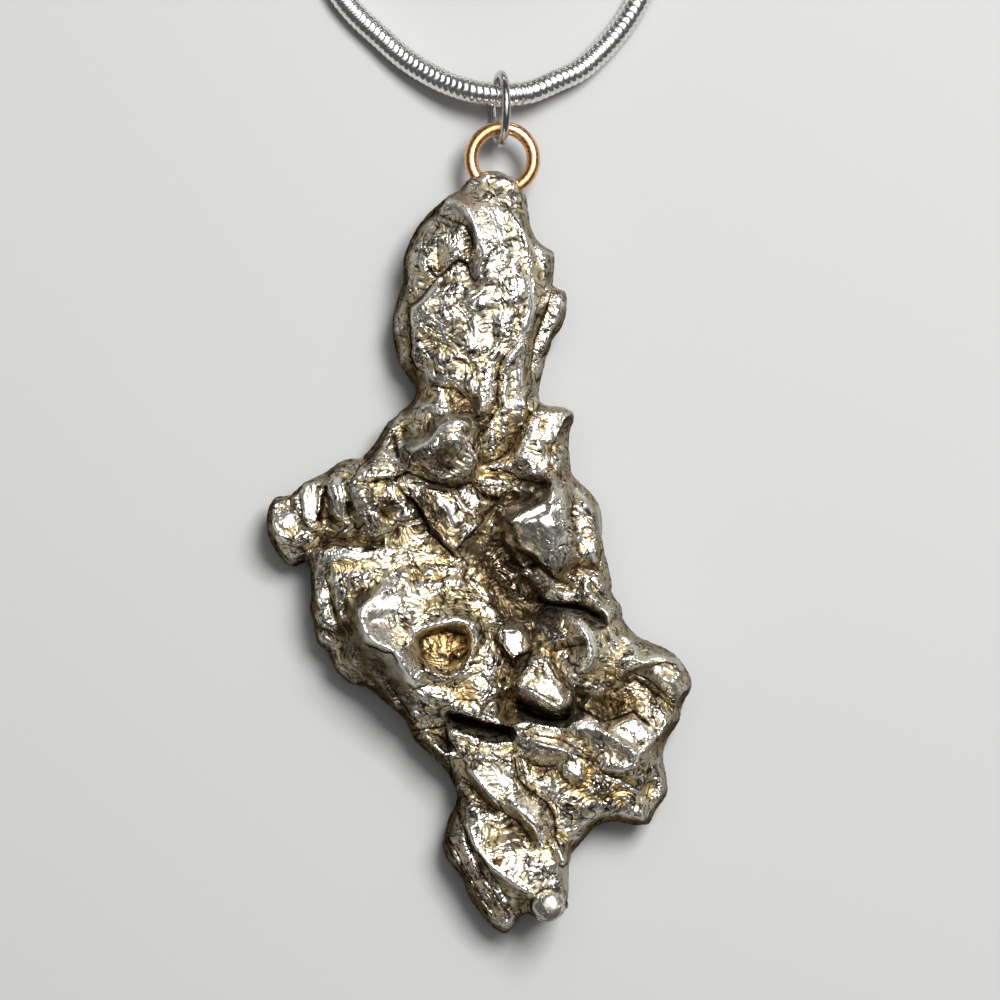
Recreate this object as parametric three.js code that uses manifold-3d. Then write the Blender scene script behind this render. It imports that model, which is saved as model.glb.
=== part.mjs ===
// An iron meteorite fragment worn as a pendant: one lump of crumpled nickel-iron, a copper wire
// loop through its tip, a steel jump ring on the loop and a snake chain through the ring. It lies on
// its back, face up, with the rest of the chain coiled beyond its tip.
//
// Units are millimetres and +Z is up. The face of the stone is surveyed on a plan grid: u steps to
// the right, v steps down towards the tail, and a height in mm above the surface it lies on.

import * as THREE from 'three';
import Module from 'manifold-3d';
import { mergeVertices } from 'three/addons/utils/BufferGeometryUtils.js';

// ---------------------------------------------------------------- driving dimensions

const GRID = 0.08; // mm per step of the plan grid
const PLAN_ORIGIN = { u: 500, v: 500 }; // the grid point at x = 0, y = 0

const OUTLINE_STEP = 0.62; // spacing of the points round the plan outline
const CURVE_STEP = 0.52; // spacing of the points along a crest or a crease
const FACE_STEP = 0.82; // spacing of the points that fill the face
const BACK_STEP = 2.1; // spacing of the points that fill the back
const CURVE_ROOM = 0.6; // least room round a point of a curve, in curve steps
const ROW_ROOM = 0.7; // and round a point of the row inside the rim, and from the outline to the fill
const FILL_ROOM = 0.64; // least room round a filling point, in its own steps
const FILL_JITTER = 0.4; // how far, in steps, a filling point strays from its place in the row
const SETTLE_ROUNDS = 600;
const CLEARANCE = 0.3; // what touches another piece keeps this much air

const FACE_BULGE = 0.17; // curvature, per mm, with which the metal swells between its creases
const FACE_ROUNDING = { share: 0.8, least: 0.5, most: 2.6 }; // radius of the rolled rim, from its drop
const BACK_ROUNDING = { share: 1.5, least: 0.6, most: 3.4 };
const RIM_WAVES = [{ height: 0.45, length: 7.3 }, { height: 0.3, length: 2.9 }]; // the rim isn't level
const RIM_INSET = 0.42; // no other point comes nearer to the outline
const ROW_INSET = 0.5; // how far inside the outline the first row of points lies

// ---------------------------------------------------------------- the plan outline, [u, v, rim height]

const OUTLINE = [
  // cap and right shoulder
  [476, 172, 3.6], [484, 169, 3.7], [494, 169, 3.7], [504, 171, 3.7], [513, 175, 3.7], [520, 180, 3.7],
  [525, 188, 3.6], [528, 197, 3.6], [529, 208, 3.5], [530, 221, 3.5], [534, 233, 3.5], [541, 243, 3.4],
  [548, 248, 3.4], [554, 250, 3.4], [555, 258, 3.4], [554, 272, 3.3], [554, 285, 3.2],
  // flake on the right of the head
  [561, 287, 3.2], [567, 292, 3.2], [568, 302, 3.2], [567, 316, 3.2], [561, 329, 3.2], [554, 338, 3.2],
  [550, 350, 3.2], [546, 363, 3.2], [542, 380, 3.2], [539, 394, 3.2],
  // horn
  [543, 403, 3.4], [555, 405, 3.7], [568, 407, 4.0], [575, 412, 4.1], [573, 423, 3.9], [570, 434, 3.6],
  [569, 447, 3.4], [571, 460, 3.3], [573, 473, 3.2],
  // right flank
  [580, 481, 3.2], [589, 488, 3.2], [597, 499, 3.2], [602, 512, 3.2], [604, 527, 3.2], [604, 542, 3.2],
  [607, 557, 3.2], [610, 571, 3.2], [613, 585, 3.2], [614, 597, 3.2], [620, 601, 3.4], [623, 609, 3.4],
  [623, 619, 3.2], [630, 628, 3.1], [639, 636, 3.1], [650, 642, 3.1], [662, 646, 3.1], [673, 652, 3.2],
  [681, 661, 3.3], [688, 671, 3.3], [693, 682, 3.3], [691, 693, 3.2], [686, 702, 3.1], [684, 713, 3.0],
  [679, 726, 3.0], [671, 738, 3.0], [665, 750, 3.0], [666, 764, 3.0], [669, 778, 3.0], [669, 793, 3.0],
  [664, 806, 3.0], [657, 814, 3.0], [653, 824, 3.0], [643, 829, 3.1], [631, 826, 3.0], [619, 823, 3.0],
  [607, 825, 2.9], [598, 829, 2.8], [589, 839, 2.8], [579, 851, 2.7], [571, 860, 2.7],
  // tail
  [569, 871, 3.0], [570, 886, 3.1], [570, 900, 3.2], [564, 913, 3.2], [554, 920, 3.2], [543, 923, 3.2],
  [532, 919, 3.1], [523, 918, 3.0], [517, 924, 2.9], [511, 933, 2.8], [503, 937, 2.8], [495, 933, 2.8],
  [486, 924, 2.8], [477, 913, 2.8], [468, 901, 2.8], [465, 889, 2.7], [459, 877, 2.7], [449, 867, 2.6],
  [443, 855, 2.6], [442, 841, 2.6], [446, 826, 2.6], [451, 812, 2.7], [456, 799, 2.7],
  // left foot of the body
  [452, 783, 2.7], [445, 771, 2.7], [434, 761, 2.7], [423, 752, 2.7], [414, 743, 2.8], [410, 734, 2.8],
  [405, 723, 2.7], [395, 713, 2.7], [383, 704, 2.7], [372, 694, 2.6], [361, 688, 2.6], [349, 687, 2.6],
  [338, 677, 2.6], [330, 665, 2.6], [327, 653, 2.6], [318, 647, 2.8], [313, 637, 2.9], [311, 624, 2.9],
  [308, 610, 2.9], [309, 596, 2.9], [309, 580, 2.9], [307, 564, 2.9],
  // left wing
  [302, 561, 2.8], [296, 568, 2.7], [288, 567, 2.7], [278, 558, 2.7], [270, 546, 2.7], [265, 532, 2.8],
  [265, 517, 2.9], [269, 503, 3.0], [277, 494, 3.0], [286, 496, 3.0], [295, 487, 3.0], [306, 479, 3.0],
  [318, 474, 3.0], [329, 469, 3.0], [339, 461, 3.0], [350, 458, 3.0], [361, 457, 3.0], [371, 445, 3.0],
  [380, 431, 3.0], [389, 420, 3.0], [399, 411, 3.0], [409, 402, 3.0], [415, 391, 3.0],
  // left side of the head
  [409, 379, 2.9], [400, 367, 2.9], [395, 351, 2.9], [392, 335, 2.9], [391, 319, 2.9], [394, 304, 3.0],
  [397, 291, 3.1], [402, 279, 3.2], [402, 263, 3.3], [406, 246, 3.4], [413, 230, 3.5], [425, 215, 3.6],
  [437, 202, 3.6], [450, 192, 3.6], [461, 186, 3.6], [468, 178, 3.6],
];

// ---------------------------------------------------------------- crests and creases of the face

// Each line is a list of places, [u, v, height].
const HEAD = {
  capCrest: [[481, 174, 5.5], [491, 173, 5.8], [503, 175, 5.9], [513, 179, 5.6], [519, 185, 5.2]],
  capFoot: [[470, 184, 5.2], [482, 184, 5.2], [494, 184, 5.2], [505, 186, 5.3], [514, 191, 5.4]],
  shoulderLump: [[513, 197, 6.2], [521, 196, 5.9]],
  shoulderDip: [[512, 207, 5.8], [522, 207, 5.4]],
  browSlope: [[462, 196, 6.1], [480, 197, 6.5], [495, 203, 6.8]],
  browPlain: [[490, 216, 7.6], [496, 228, 7.9], [500, 240, 8.1]],
  foldCrest: [[444, 200, 6.6], [455, 202, 7.6], [465, 209, 8.3], [471, 219, 8.5], [475, 232, 8.5],
    [479, 242, 8.6]],
  foldFoot: [[440, 209, 6.1], [447, 217, 6.6], [458, 223, 6.9], [467, 227, 7.1], [470, 236, 7.1],
    [470, 248, 7.2]],
  templeRim: [[409, 240, 5.0], [418, 227, 5.4], [430, 214, 5.7], [440, 204, 6.0]],
  templeGroove: [[415, 238, 4.8], [424, 227, 5.2], [434, 219, 5.5]],
  cheekFacet: [[420, 246, 6.1], [426, 258, 6.5], [431, 267, 7.0]],
  cheekCrease: [[436, 240, 6.7], [438, 254, 6.4], [439, 269, 6.3]],
  cheekDimples: [[449, 238, 7.0], [455, 249, 7.3], [464, 252, 7.3]],
  lipCrest: [[428, 268, 7.1], [434, 275, 7.3], [441, 274, 7.4], [447, 267, 7.6], [453, 260, 7.7],
    [460, 257, 7.7], [466, 261, 7.5]],
  lipFoot: [[425, 275, 6.5], [433, 282, 6.4], [442, 282, 6.5], [449, 273, 6.7], [455, 266, 6.8],
    [461, 263, 6.8], [466, 269, 6.9]],
  tongueCrest: [[484, 247, 8.8], [487, 257, 8.7], [484, 269, 8.6], [478, 280, 8.2]],
  tongueFoot: [[469, 258, 7.0], [469, 272, 6.9], [474, 286, 7.0]],
  jawValley: [[430, 284, 6.3], [423, 293, 6.1], [414, 300, 5.6], [407, 306, 5.1]],
  jawLump: [[409, 279, 5.7], [408, 292, 5.4], [416, 287, 5.9]],
  faceEdge: [[439, 286, 7.3], [431, 297, 7.4], [420, 305, 7.2], [412, 312, 6.8], [412, 324, 6.6],
    [416, 336, 6.6],
    [414, 350, 6.5], [416, 362, 6.3], [423, 369, 6.2]],
  sideFoot: [[407, 311, 4.9], [405, 324, 4.6], [406, 339, 4.6], [407, 353, 4.6], [411, 366, 4.7],
    [418, 377, 5]],
  facePlain: [[446, 300, 7.9], [456, 290, 7.7], [462, 305, 8.0]],
  faceBright: [[424, 314, 7.4], [438, 315, 7.8], [452, 316, 8.0]],
  faceCrease: [[446, 337, 7.4], [457, 329, 7.5], [468, 323, 7.7], [474, 315, 7.8]],
  faceHollow: [[424, 340, 6.8], [437, 344, 7.0], [450, 345, 7.4]],
  chin: [[430, 358, 7.0], [445, 360, 7.4], [460, 350, 7.8]],
  noseLine: [[476, 296, 8.3], [477, 309, 8.4], [476, 324, 8.3], [470, 342, 8.0]],
  eyeRing: [[502, 281, 8.2], [512, 276, 8.2], [522, 281, 8.1], [526, 293, 7.9], [522, 305, 8.0],
    [510, 309, 8.1],
    [503, 299, 8.2], [501, 289, 8.2]],
  eyeBoss: [[513, 292, 8.7]],
  innerCrease: [[492, 312, 8.0], [493, 326, 7.8], [493, 341, 7.7]],
  innerRidge: [[500, 318, 8.4], [501, 332, 8.3], [500, 344, 8.1]],
  browRidge: [[508, 213, 7.1], [518, 223, 7.4], [524, 236, 7.6], [528, 251, 7.6], [531, 268, 7.4],
    [533, 288, 7.3],
    [533, 309, 7.4], [529, 330, 7.5]],
  browGroove: [[506, 219, 7.0], [514, 229, 7.1], [518, 243, 7.3], [522, 256, 7.3], [525, 270, 7.4]],
  outerRidge: [[524, 219, 6.0], [531, 232, 6.4], [538, 246, 6.4], [545, 259, 6.3], [548, 268, 6.0]],
  outerGroove: [[522, 229, 6.3], [529, 242, 6.3], [535, 254, 6.1], [541, 267, 5.9]],
  earLump: [[551, 254, 5.6]],
  rightFacet: [[545, 282, 5.8], [541, 298, 6.1]],
  flakeCleft: [[553, 291, 4.7], [549, 304, 5], [542, 321, 5.1], [535, 341, 5.1], [532, 360, 5],
    [532, 379, 4.9], [534, 393, 4.9]],
  headRightRim: [[549, 289, 5.5], [544, 303, 5.9], [536, 320, 6.3], [529, 341, 6.7], [526, 361, 6.7],
    [526, 381, 6.4], [527, 394, 6.1]],
  flakeCrest: [[561, 294, 5.1], [560, 310, 5.3], [553, 327, 5.3], [545, 347, 5.3], [541, 365, 5.1],
    [538, 384, 5.0]],
  throatCrack: [[519, 342, 7.7], [510, 351, 7.5], [502, 361, 7.3], [498, 374, 7.2], [498, 389, 7.1],
    [497, 402, 6.9],
    [490, 412, 6.9], [483, 424, 6.9], [479, 436, 6.9]],
  throatRight: [[522, 349, 8.0], [512, 358, 7.9], [505, 369, 7.6], [504, 384, 7.5], [504, 396, 7.3]],
  throatFlute: [[513, 371, 7.0], [513, 386, 6.9], [514, 400, 6.7]],
  throatStrip: [[520, 368, 7.5], [521, 384, 7.2]],
  throatLeft: [[494, 357, 8.1], [490, 371, 8.1], [490, 386, 8.1], [489, 399, 7.9]],
  throatCrumple: [[466, 352, 8.1], [478, 352, 8.3], [486, 358, 8.0]],
  throatDent: [[463, 366, 7.5], [474, 366, 7.7], [480, 374, 7.9]],
  gulletLobe: [[470, 386, 8.0], [479, 395, 8.3], [483, 406, 8.5], [480, 413, 7.9]],
  gulletCrease: [[434, 383, 6.8], [444, 388, 6.7], [455, 390, 6.7], [463, 396, 6.7], [471, 402, 6.8],
    [475, 411, 6.8], [476, 420, 7]],
  gulletBrow: [[428, 376, 6.9], [441, 377, 7.4], [455, 380, 7.7]],
};

const NECK = {
  platePlain: [[418, 412, 6.4], [431, 405, 7.0], [445, 404, 7.2], [457, 408, 7.3]],
  plateFoot: [[417, 427, 6.3], [431, 421, 7.0], [445, 414, 7.3]],
  leftStria: [[403, 419, 4.7], [404, 432, 4.8]],
  leftStriaCrest: [[411, 409, 5.5], [411, 422, 5.6], [409, 436, 5.6]],
  snoutCrest: [[405, 453, 7.6], [418, 447, 8.7], [430, 441, 9.2], [438, 432, 9.4], [447, 425, 9.6],
    [458, 422, 9.8], [467, 425, 9.4]],
  snoutBrow: [[403, 445, 5.8], [415, 438, 6.6], [426, 433, 6.9], [433, 425, 7.1], [442, 417, 7.3],
    [453, 413, 7.4], [464, 414, 7.5], [471, 418, 7.6]],
  snoutBody: [[425, 456, 9.5], [441, 449, 9.9], [456, 439, 10.0]],
  snoutPocket: [[446, 459, 9.0], [458, 452, 9.2], [466, 445, 9.4]],
  snoutRim: [[401, 466, 7.2], [411, 464, 8.0], [427, 467, 8.4], [437, 475, 8.3], [449, 479, 8.3],
    [464, 476, 8.3],
    [475, 464, 8.3], [477, 448, 8.4], [477, 434, 8.2]],
  snoutShadow: [[396, 478, 6.2], [408, 472, 6.3], [420, 475, 6.4], [430, 482, 6.4], [442, 487, 6.4],
    [456, 487, 6.4], [469, 483, 6.5]],
  snoutRightGap: [[483, 429, 6.9], [482, 444, 6.8], [482, 458, 6.6], [478, 471, 6.7]],
  fluteA: [[491, 424, 7.6], [492, 440, 7.5], [492, 453, 7.0]],
  fluteGapA: [[498, 414, 7.2], [498, 432, 7.1], [498, 447, 6.7]],
  fluteB: [[505, 404, 7.5], [506, 424, 7.5], [504, 442, 7.0]],
  fluteGapB: [[513, 410, 7], [513, 426, 6.7], [508, 442, 6.3]],
  fluteC: [[521, 403, 7.4], [521, 415, 7.1]],
  clothCrack: [[531, 411, 6.4], [525, 422, 6.3], [518, 434, 6.2], [512, 446, 6], [505, 455, 5.8],
    [494, 461, 5.9], [484, 463, 6]],
  clothRim: [[537, 412, 7.2], [530, 426, 7.4], [523, 438, 7.3], [518, 450, 7.1]],
  clothPlain: [[545, 421, 7.1], [541, 434, 7.5], [534, 446, 7.5]],
  hornTop: [[541, 406, 5.9], [552, 411, 6.3], [563, 412, 6.6]],
  hornCrest: [[571, 413, 6.4], [564, 419, 7.0], [560, 429, 7.0], [556, 441, 6.8]],
  hornCrease: [[568, 420, 5.6], [563, 430, 5.6], [557, 443, 5.7], [551, 452, 6.0]],
  hornFlank: [[567, 436, 5.3], [564, 450, 5.6]],
  sashCrest: [[485, 466, 6.9], [500, 466, 7.1], [514, 461, 7.4], [529, 455, 7.7], [546, 454, 7.4],
    [560, 460, 6.6]],
  sashFold: [[519, 470, 7.3], [530, 464, 7.7], [544, 464, 7.6], [557, 469, 7.2]],
  sashRim: [[481, 468, 6.9], [499, 470, 7.0], [513, 470, 7.1], [521, 475, 7.3], [534, 475, 7.8],
    [546, 476, 8.2]],
  sashShadow: [[480, 474, 6.2], [498, 475, 6], [511, 477, 5.8], [520, 482, 5.8], [532, 482, 6],
    [542, 484, 6.6]],
  shelfTop: [[478, 478, 6.6], [492, 480, 6.9], [506, 483, 6.8]],
  shelfRim: [[473, 481, 6.6], [481, 488, 6.7], [490, 494, 6.6], [500, 495, 6.4], [510, 489, 6.2],
    [518, 484, 6.0]],
  shelfShadow: [[473, 486, 5.7], [481, 493, 5.5], [490, 499, 5.4], [500, 500, 5.2], [512, 493, 5.2]],
  stepTop: [[465, 489, 6.7], [475, 497, 6.6], [484, 505, 6.4]],
  stepCrest: [[457, 487, 6.9], [461, 497, 7.1], [468, 507, 7.0], [475, 517, 6.8]],
  stepFoot: [[453, 490, 6.2], [456, 500, 6.1], [463, 510, 6.1], [471, 520, 6.2]],
  stepRight: [[496, 500, 5.6], [489, 508, 5.6], [482, 516, 5.4]],
  rubble: [[520, 492, 6.4], [527, 487, 6.8], [534, 491, 7.2]],
  rubbleGap: [[511, 500, 5.4], [520, 500, 5.8], [530, 497, 6.4]],
  rubbleLedge: [[505, 507, 6.4], [514, 505, 6.8], [524, 502, 7.2]],
};

const DIAMOND = {
  upperEdge: [[409, 483, 6.8], [424, 487, 7.2], [438, 493, 7.5], [450, 501, 7.6], [460, 511, 7.6],
    [471, 521, 7.4]],
  leftEdge: [[410, 491, 6.9], [421, 503, 7.3], [429, 519, 7.5], [440, 534, 7.5], [453, 547, 7.4]],
  tipEdge: [[456, 549, 7.3], [466, 539, 7.4], [475, 528, 7.3]],
  body: [[430, 503, 7.9], [441, 516, 8.0], [453, 529, 7.9]],
  rib: [[446, 508, 8.1], [456, 522, 8.1]],
  leftShadow: [[403, 492, 6.2], [416, 505, 6], [423, 521, 6], [434, 538, 6.1], [448, 552, 6.2],
    [458, 558, 6.2]],
  rightShadow: [[463, 553, 6.2], [473, 542, 6.1], [481, 531, 5.9], [487, 519, 5.8]],
};

const HOLLOW = {
  pillar: [[488, 512, 6.4], [491, 520, 6.6], [490, 530, 6.2]],
  pillarGap: [[498, 517, 5.8], [497, 524, 5.6]],
  upper: [[476, 556, 5.9], [484, 545, 6], [490, 538, 6.1]],
  floor: [[475, 568, 5.8], [486, 576, 5.7], [498, 590, 5.4], [510, 604, 5.2], [522, 616, 4.9]],
  rib: [[500, 575, 6.1], [511, 586, 5.9], [524, 596, 5.6]],
  wallLeft: [[463, 560, 6.0], [465, 573, 6.2], [474, 586, 6.5], [486, 598, 6.8], [496, 611, 7.0],
    [502, 622, 7.0]],
  wallFoot: [[468, 563, 5.8], [471, 577, 5.8], [481, 589, 5.7], [493, 602, 5.7], [502, 614, 5.8],
    [508, 623, 6]],
  foldCrest: [[498, 528, 6.4], [505, 537, 6.6], [512, 547, 6.6], [517, 558, 6.4]],
  foldGap: [[500, 541, 5.4], [507, 552, 5.4], [513, 563, 5.2]],
  spur: [[522, 573, 6.0], [535, 580, 6.2], [546, 590, 6.2]],
  spurFoot: [[521, 581, 5.2], [533, 590, 5.0], [541, 599, 4.4]],
};

const BULGE = {
  ridge: [[504, 520, 7.6], [515, 521, 8.8], [528, 518, 9.6], [540, 511, 10.1], [549, 503, 10.2],
    [552, 492, 9.8], [552, 481, 9.0]],
  upperFoot: [[507, 514, 6.6], [520, 510, 7.4], [533, 503, 8.0], [541, 493, 8.2], [544, 484, 8.0]],
  saddle: [[508, 527, 7.4], [520, 531, 8.6], [534, 527, 9.3]],
  body: [[541, 533, 10.0], [552, 522, 10.2], [554, 541, 9.9]],
  rightShoulder: [[564, 486, 8.2], [565, 502, 9.0], [567, 520, 9.2], [569, 538, 8.8], [569, 553, 8.4]],
  lowerLip: [[518, 539, 8.2], [524, 547, 8.2], [534, 553, 8.6]],
  lowerRim: [[540, 559, 8.7], [545, 566, 8.9], [552, 573, 8.6], [557, 577, 7.8]],
  lowerFacet: [[551, 556, 9.5], [561, 561, 8.9]],
  lipFoot: [[513, 538, 6.8], [517, 550, 6.4], [523, 557, 6.3], [534, 561, 6.2]],
  rimFoot: [[539, 566, 6.4], [546, 573, 6.4], [552, 581, 6.4]],
  lipLine: [[523, 564, 6.2], [530, 568, 5.9]],
  collarCrest: [[550, 581, 6.6], [555, 589, 7.0], [563, 594, 7.2], [573, 594, 7.1]],
  collarDip: [[560, 583, 6.2], [568, 587, 6.4]],
  collarUpper: [[563, 574, 7.2], [571, 578, 6.8]],
};

const RIGHT_FLANK = {
  outerCrest: [[578, 485, 5.9], [588, 493, 5.7], [595, 504, 5.4]],
  upperHollow: [[568, 492, 6.6], [578, 498, 6.0]],
  crossCrease: [[571, 516, 6.6], [583, 517, 6.2], [595, 515, 5.5]],
  upperPlate: [[572, 507, 7.2], [585, 508, 6.8]],
  middlePlate: [[577, 525, 7.4], [588, 526, 7.0], [597, 524, 6.0]],
  middlePit: [[583, 541, 6.4], [592, 538, 6.0]],
  lowerPlate: [[577, 553, 7.3], [588, 556, 7.0], [597, 552, 6.2]],
  lowerCrease: [[573, 569, 6.2], [585, 568, 5.8], [597, 566, 5.4]],
  skirtLump: [[586, 578, 7.2], [598, 577, 6.8], [604, 589, 6.6]],
  skirtCrest: [[579, 589, 6.9], [588, 593, 7.5], [597, 602, 7.5], [603, 610, 7.3]],
  gapUpperRim: [[545, 597, 6.2], [557, 600, 6.6], [573, 600, 6.9], [586, 604, 6.9], [598, 611, 6.9]],
  gapFloor: [[538, 605, 4.9], [549, 605, 4.6], [562, 606, 4.5], [576, 607, 4.5], [588, 612, 4.6],
    [599, 619, 4.8]],
  knob: [[607, 615, 7.2], [612, 609, 6.6]],
  knobOuter: [[618, 609, 5.6]],
};

const RIGHT_WING = {
  domeRim: [[529, 628, 5.8], [535, 617, 6.2], [546, 611, 6.3], [559, 612, 6.9]],
  domeLeft: [[530, 640, 6.2], [539, 645, 6.5], [548, 650, 6.7]],
  domeBody: [[548, 628, 7.3], [558, 637, 7.5], [566, 626, 7.7]],
  domeCrease: [[551, 650, 6.6], [562, 649, 6.7], [573, 646, 7.0], [582, 642, 7.6]],
  domeCrest: [[571, 615, 8.2], [579, 624, 8.8], [585, 635, 9.2], [588, 648, 9.2], [588, 660, 8.9],
    [583, 669, 8.4]],
  domeOuter: [[583, 615, 7.4], [593, 626, 8.0], [598, 640, 8.1], [599, 655, 7.9], [595, 668, 7.6]],
  domeLower: [[561, 659, 7.0], [571, 664, 7.5], [570, 676, 7.2]],
  domeSill: [[578, 673, 7.3], [590, 675, 7.0], [598, 680, 6.6]],
  apron: [[575, 685, 6.8], [588, 690, 6.4], [592, 702, 5.6]],
  beakGap: [[552, 663, 6.3], [558, 673, 6.2], [565, 682, 6.0], [574, 689, 5.6], [578, 700, 4.6]],
  bowlRim: [[609, 628, 6.6], [617, 640, 7.0], [614, 655, 7.3], [610, 670, 7.0]],
  bowl: [[606, 690, 6.2], [617, 682, 6.3], [627, 690, 6.0], [616, 703, 5.7], [603, 709, 5.2]],
  bowlShine: [[624, 658, 7.7], [631, 655, 7.6]],
  upperSlope: [[628, 636, 6.2], [640, 645, 6.2], [655, 650, 5.8], [668, 654, 5.6]],
  archCrest: [[624, 673, 7.0], [634, 666, 7.4], [645, 662, 7.8], [652, 658, 7.5], [664, 658, 7.4],
    [675, 664, 7.0], [681, 671, 6.4]],
  archFoot: [[632, 673, 6.1], [643, 671, 6.1], [652, 666, 6.4], [662, 665, 6.3], [671, 671, 6.2]],
  archLump: [[655, 676, 6.9], [666, 679, 7.2], [675, 684, 6.9]],
  archRib: [[669, 699, 6.3], [678, 696, 6.4], [686, 688, 6.0]],
  archCrease: [[637, 681, 5.7], [647, 686, 5.5], [656, 693, 5.3], [665, 701, 5.1]],
  sillHollow: [[637, 698, 5.8], [648, 702, 5.8]],
  cornerLump: [[660, 712, 6.6], [667, 720, 6.6], [660, 731, 6.9]],
  cornerEdge: [[675, 711, 5.0], [677, 719, 4.8]],
};

const BEAK = {
  chipRim: [[500, 630, 8.2], [509, 629, 8.4], [519, 630, 8.1], [525, 639, 7.8], [527, 649, 7.5],
    [518, 654, 7.6],
    [513, 661, 7.4], [507, 650, 8.0], [501, 640, 8.1]],
  chipShadowTop: [[499, 624, 6.6], [508, 624, 6.4], [519, 624, 6.2], [528, 628, 5.9]],
  chipShadowLeft: [[493, 632, 6.8], [498, 643, 6.6], [504, 654, 6.4], [511, 665, 6.2]],
  chipGap: [[519, 659, 6.6], [526, 655, 6.2], [532, 651, 6.4]],
  backRim: [[524, 660, 7.6], [536, 658, 7.8], [547, 662, 7.8], [553, 671, 7.8], [559, 681, 7.8],
    [568, 689, 7.9], [573, 698, 7.8]],
  back: [[528, 670, 8.1], [541, 674, 8.4], [551, 687, 8.5], [562, 695, 8.6]],
  keel: [[516, 682, 7.9], [529, 688, 8.7], [544, 697, 9.1], [557, 705, 9.1], [565, 703, 8.8]],
  keelGroove: [[526, 681, 8.2], [538, 687, 8.4], [549, 694, 8.5]],
  underRim: [[511, 688, 7.2], [523, 696, 7.7], [538, 704, 7.8], [553, 711, 7.7], [563, 711, 7.6],
    [571, 706, 7.4]],
  underShadow: [[508, 696, 6.2], [520, 704, 5.6], [536, 712, 5.2], [552, 718, 5], [566, 718, 5],
    [576, 712, 5.4]],
  rootGap: [[515, 668, 6.3], [511, 677, 6.2]],
};

const SHIELD = {
  topRuffle: [[408, 565, 7.0], [404, 574, 7.6], [409, 583, 7.9], [418, 588, 7.9], [428, 584, 7.7],
    [433, 578, 7.6]],
  ruffleDip: [[415, 567, 6.8], [417, 577, 7.1]],
  upperPlain: [[402, 541, 6.3], [415, 538, 6.4], [425, 549, 6.6], [412, 553, 6.7]],
  furrowA: [[426, 562, 6.7], [441, 562, 6.6], [456, 563, 6.3]],
  furrowCrestA: [[428, 569, 7.3], [443, 568, 7.1], [457, 569, 6.8]],
  furrowB: [[437, 575, 7.0], [450, 574, 6.8], [460, 575, 6.6]],
  furrowCrestB: [[439, 583, 7.6], [451, 580, 7.3], [461, 582, 7.0]],
  furrowC: [[436, 595, 7.5], [446, 589, 7.3], [457, 590, 7.1]],
  plain: [[425, 603, 8.0], [441, 606, 8.1], [458, 603, 7.6], [472, 611, 7.6]],
  rightPlain: [[486, 622, 7.6], [484, 641, 7.8], [493, 660, 7.8], [484, 672, 7.9]],
  rightSeam: [[478, 650, 8.1], [476, 664, 8.0], [470, 677, 8.0]],
  pitRim: [[412, 650, 9.0], [413, 638, 9.2], [420, 629, 9.4], [432, 624, 9.5], [446, 621, 9.5],
    [460, 619, 9.4],
    [469, 623, 9.2], [474, 633, 8.9], [474, 646, 8.6], [467, 660, 8.5], [455, 670, 8.5], [440, 674, 8.6],
    [425, 668, 8.8], [416, 660, 8.9]],
  pitWall: [[420, 650, 8.2], [421, 641, 8], [430, 635, 7.6], [444, 632, 7.3], [458, 632, 7.4],
    [465, 639, 7.6], [465, 650, 7.8]],
  pitFloor: [[431, 647, 7.6], [441, 643, 7.3], [453, 642, 7.2], [454, 652, 7.3]],
  pitApron: [[429, 658, 7.9], [440, 663, 8], [452, 661, 7.9]],
  ridge: [[399, 572, 7.4], [391, 582, 8.2], [380, 592, 9.0], [368, 601, 9.5], [362, 611, 9.8],
    [364, 622, 10.0],
    [369, 633, 10.2], [378, 641, 10.4], [389, 646, 10.5], [398, 650, 10.5], [404, 661, 10.2],
    [410, 671, 9.9], [418, 680, 9.3]],
  leafCrest: [[373, 611, 9.5], [385, 606, 9.3], [397, 610, 9.0]],
  leafCrease: [[371, 621, 9.4], [383, 618, 9.0], [395, 622, 8.8], [404, 629, 8.9]],
  leafBelly: [[382, 630, 9.7], [393, 634, 9.6]],
  chinCrack: [[417, 690, 8.1], [424, 684, 8.0], [437, 683, 7.9], [450, 684, 7.9], [462, 684, 7.8]],
  chinPlain: [[424, 697, 8.1], [437, 694, 8.3], [432, 708, 7.5], [425, 718, 6.6], [438, 719, 6.6]],
  chinLump: [[447, 697, 8.5], [454, 702, 8.4]],
  chinSeam: [[465, 692, 7.6], [467, 703, 7.5]],
  lowerPlain: [[480, 687, 8.0], [492, 684, 7.9], [502, 690, 7.2]],
  lowerRough: [[482, 702, 7.7], [496, 708, 7.2]],
  jawRim: [[444, 705, 7.9], [452, 710, 7.8], [465, 712, 7.8], [477, 716, 7.7], [490, 722, 7.5],
    [504, 724, 7.2]],
  jawLeft: [[445, 713, 7.0], [447, 723, 6.5]],
  jawFloor: [[454, 718, 4.2], [466, 721, 3.9], [480, 727, 3.7], [494, 731, 3.7], [506, 731, 4]],
  jawRight: [[511, 716, 5.0], [510, 708, 5.2]],
};

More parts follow.
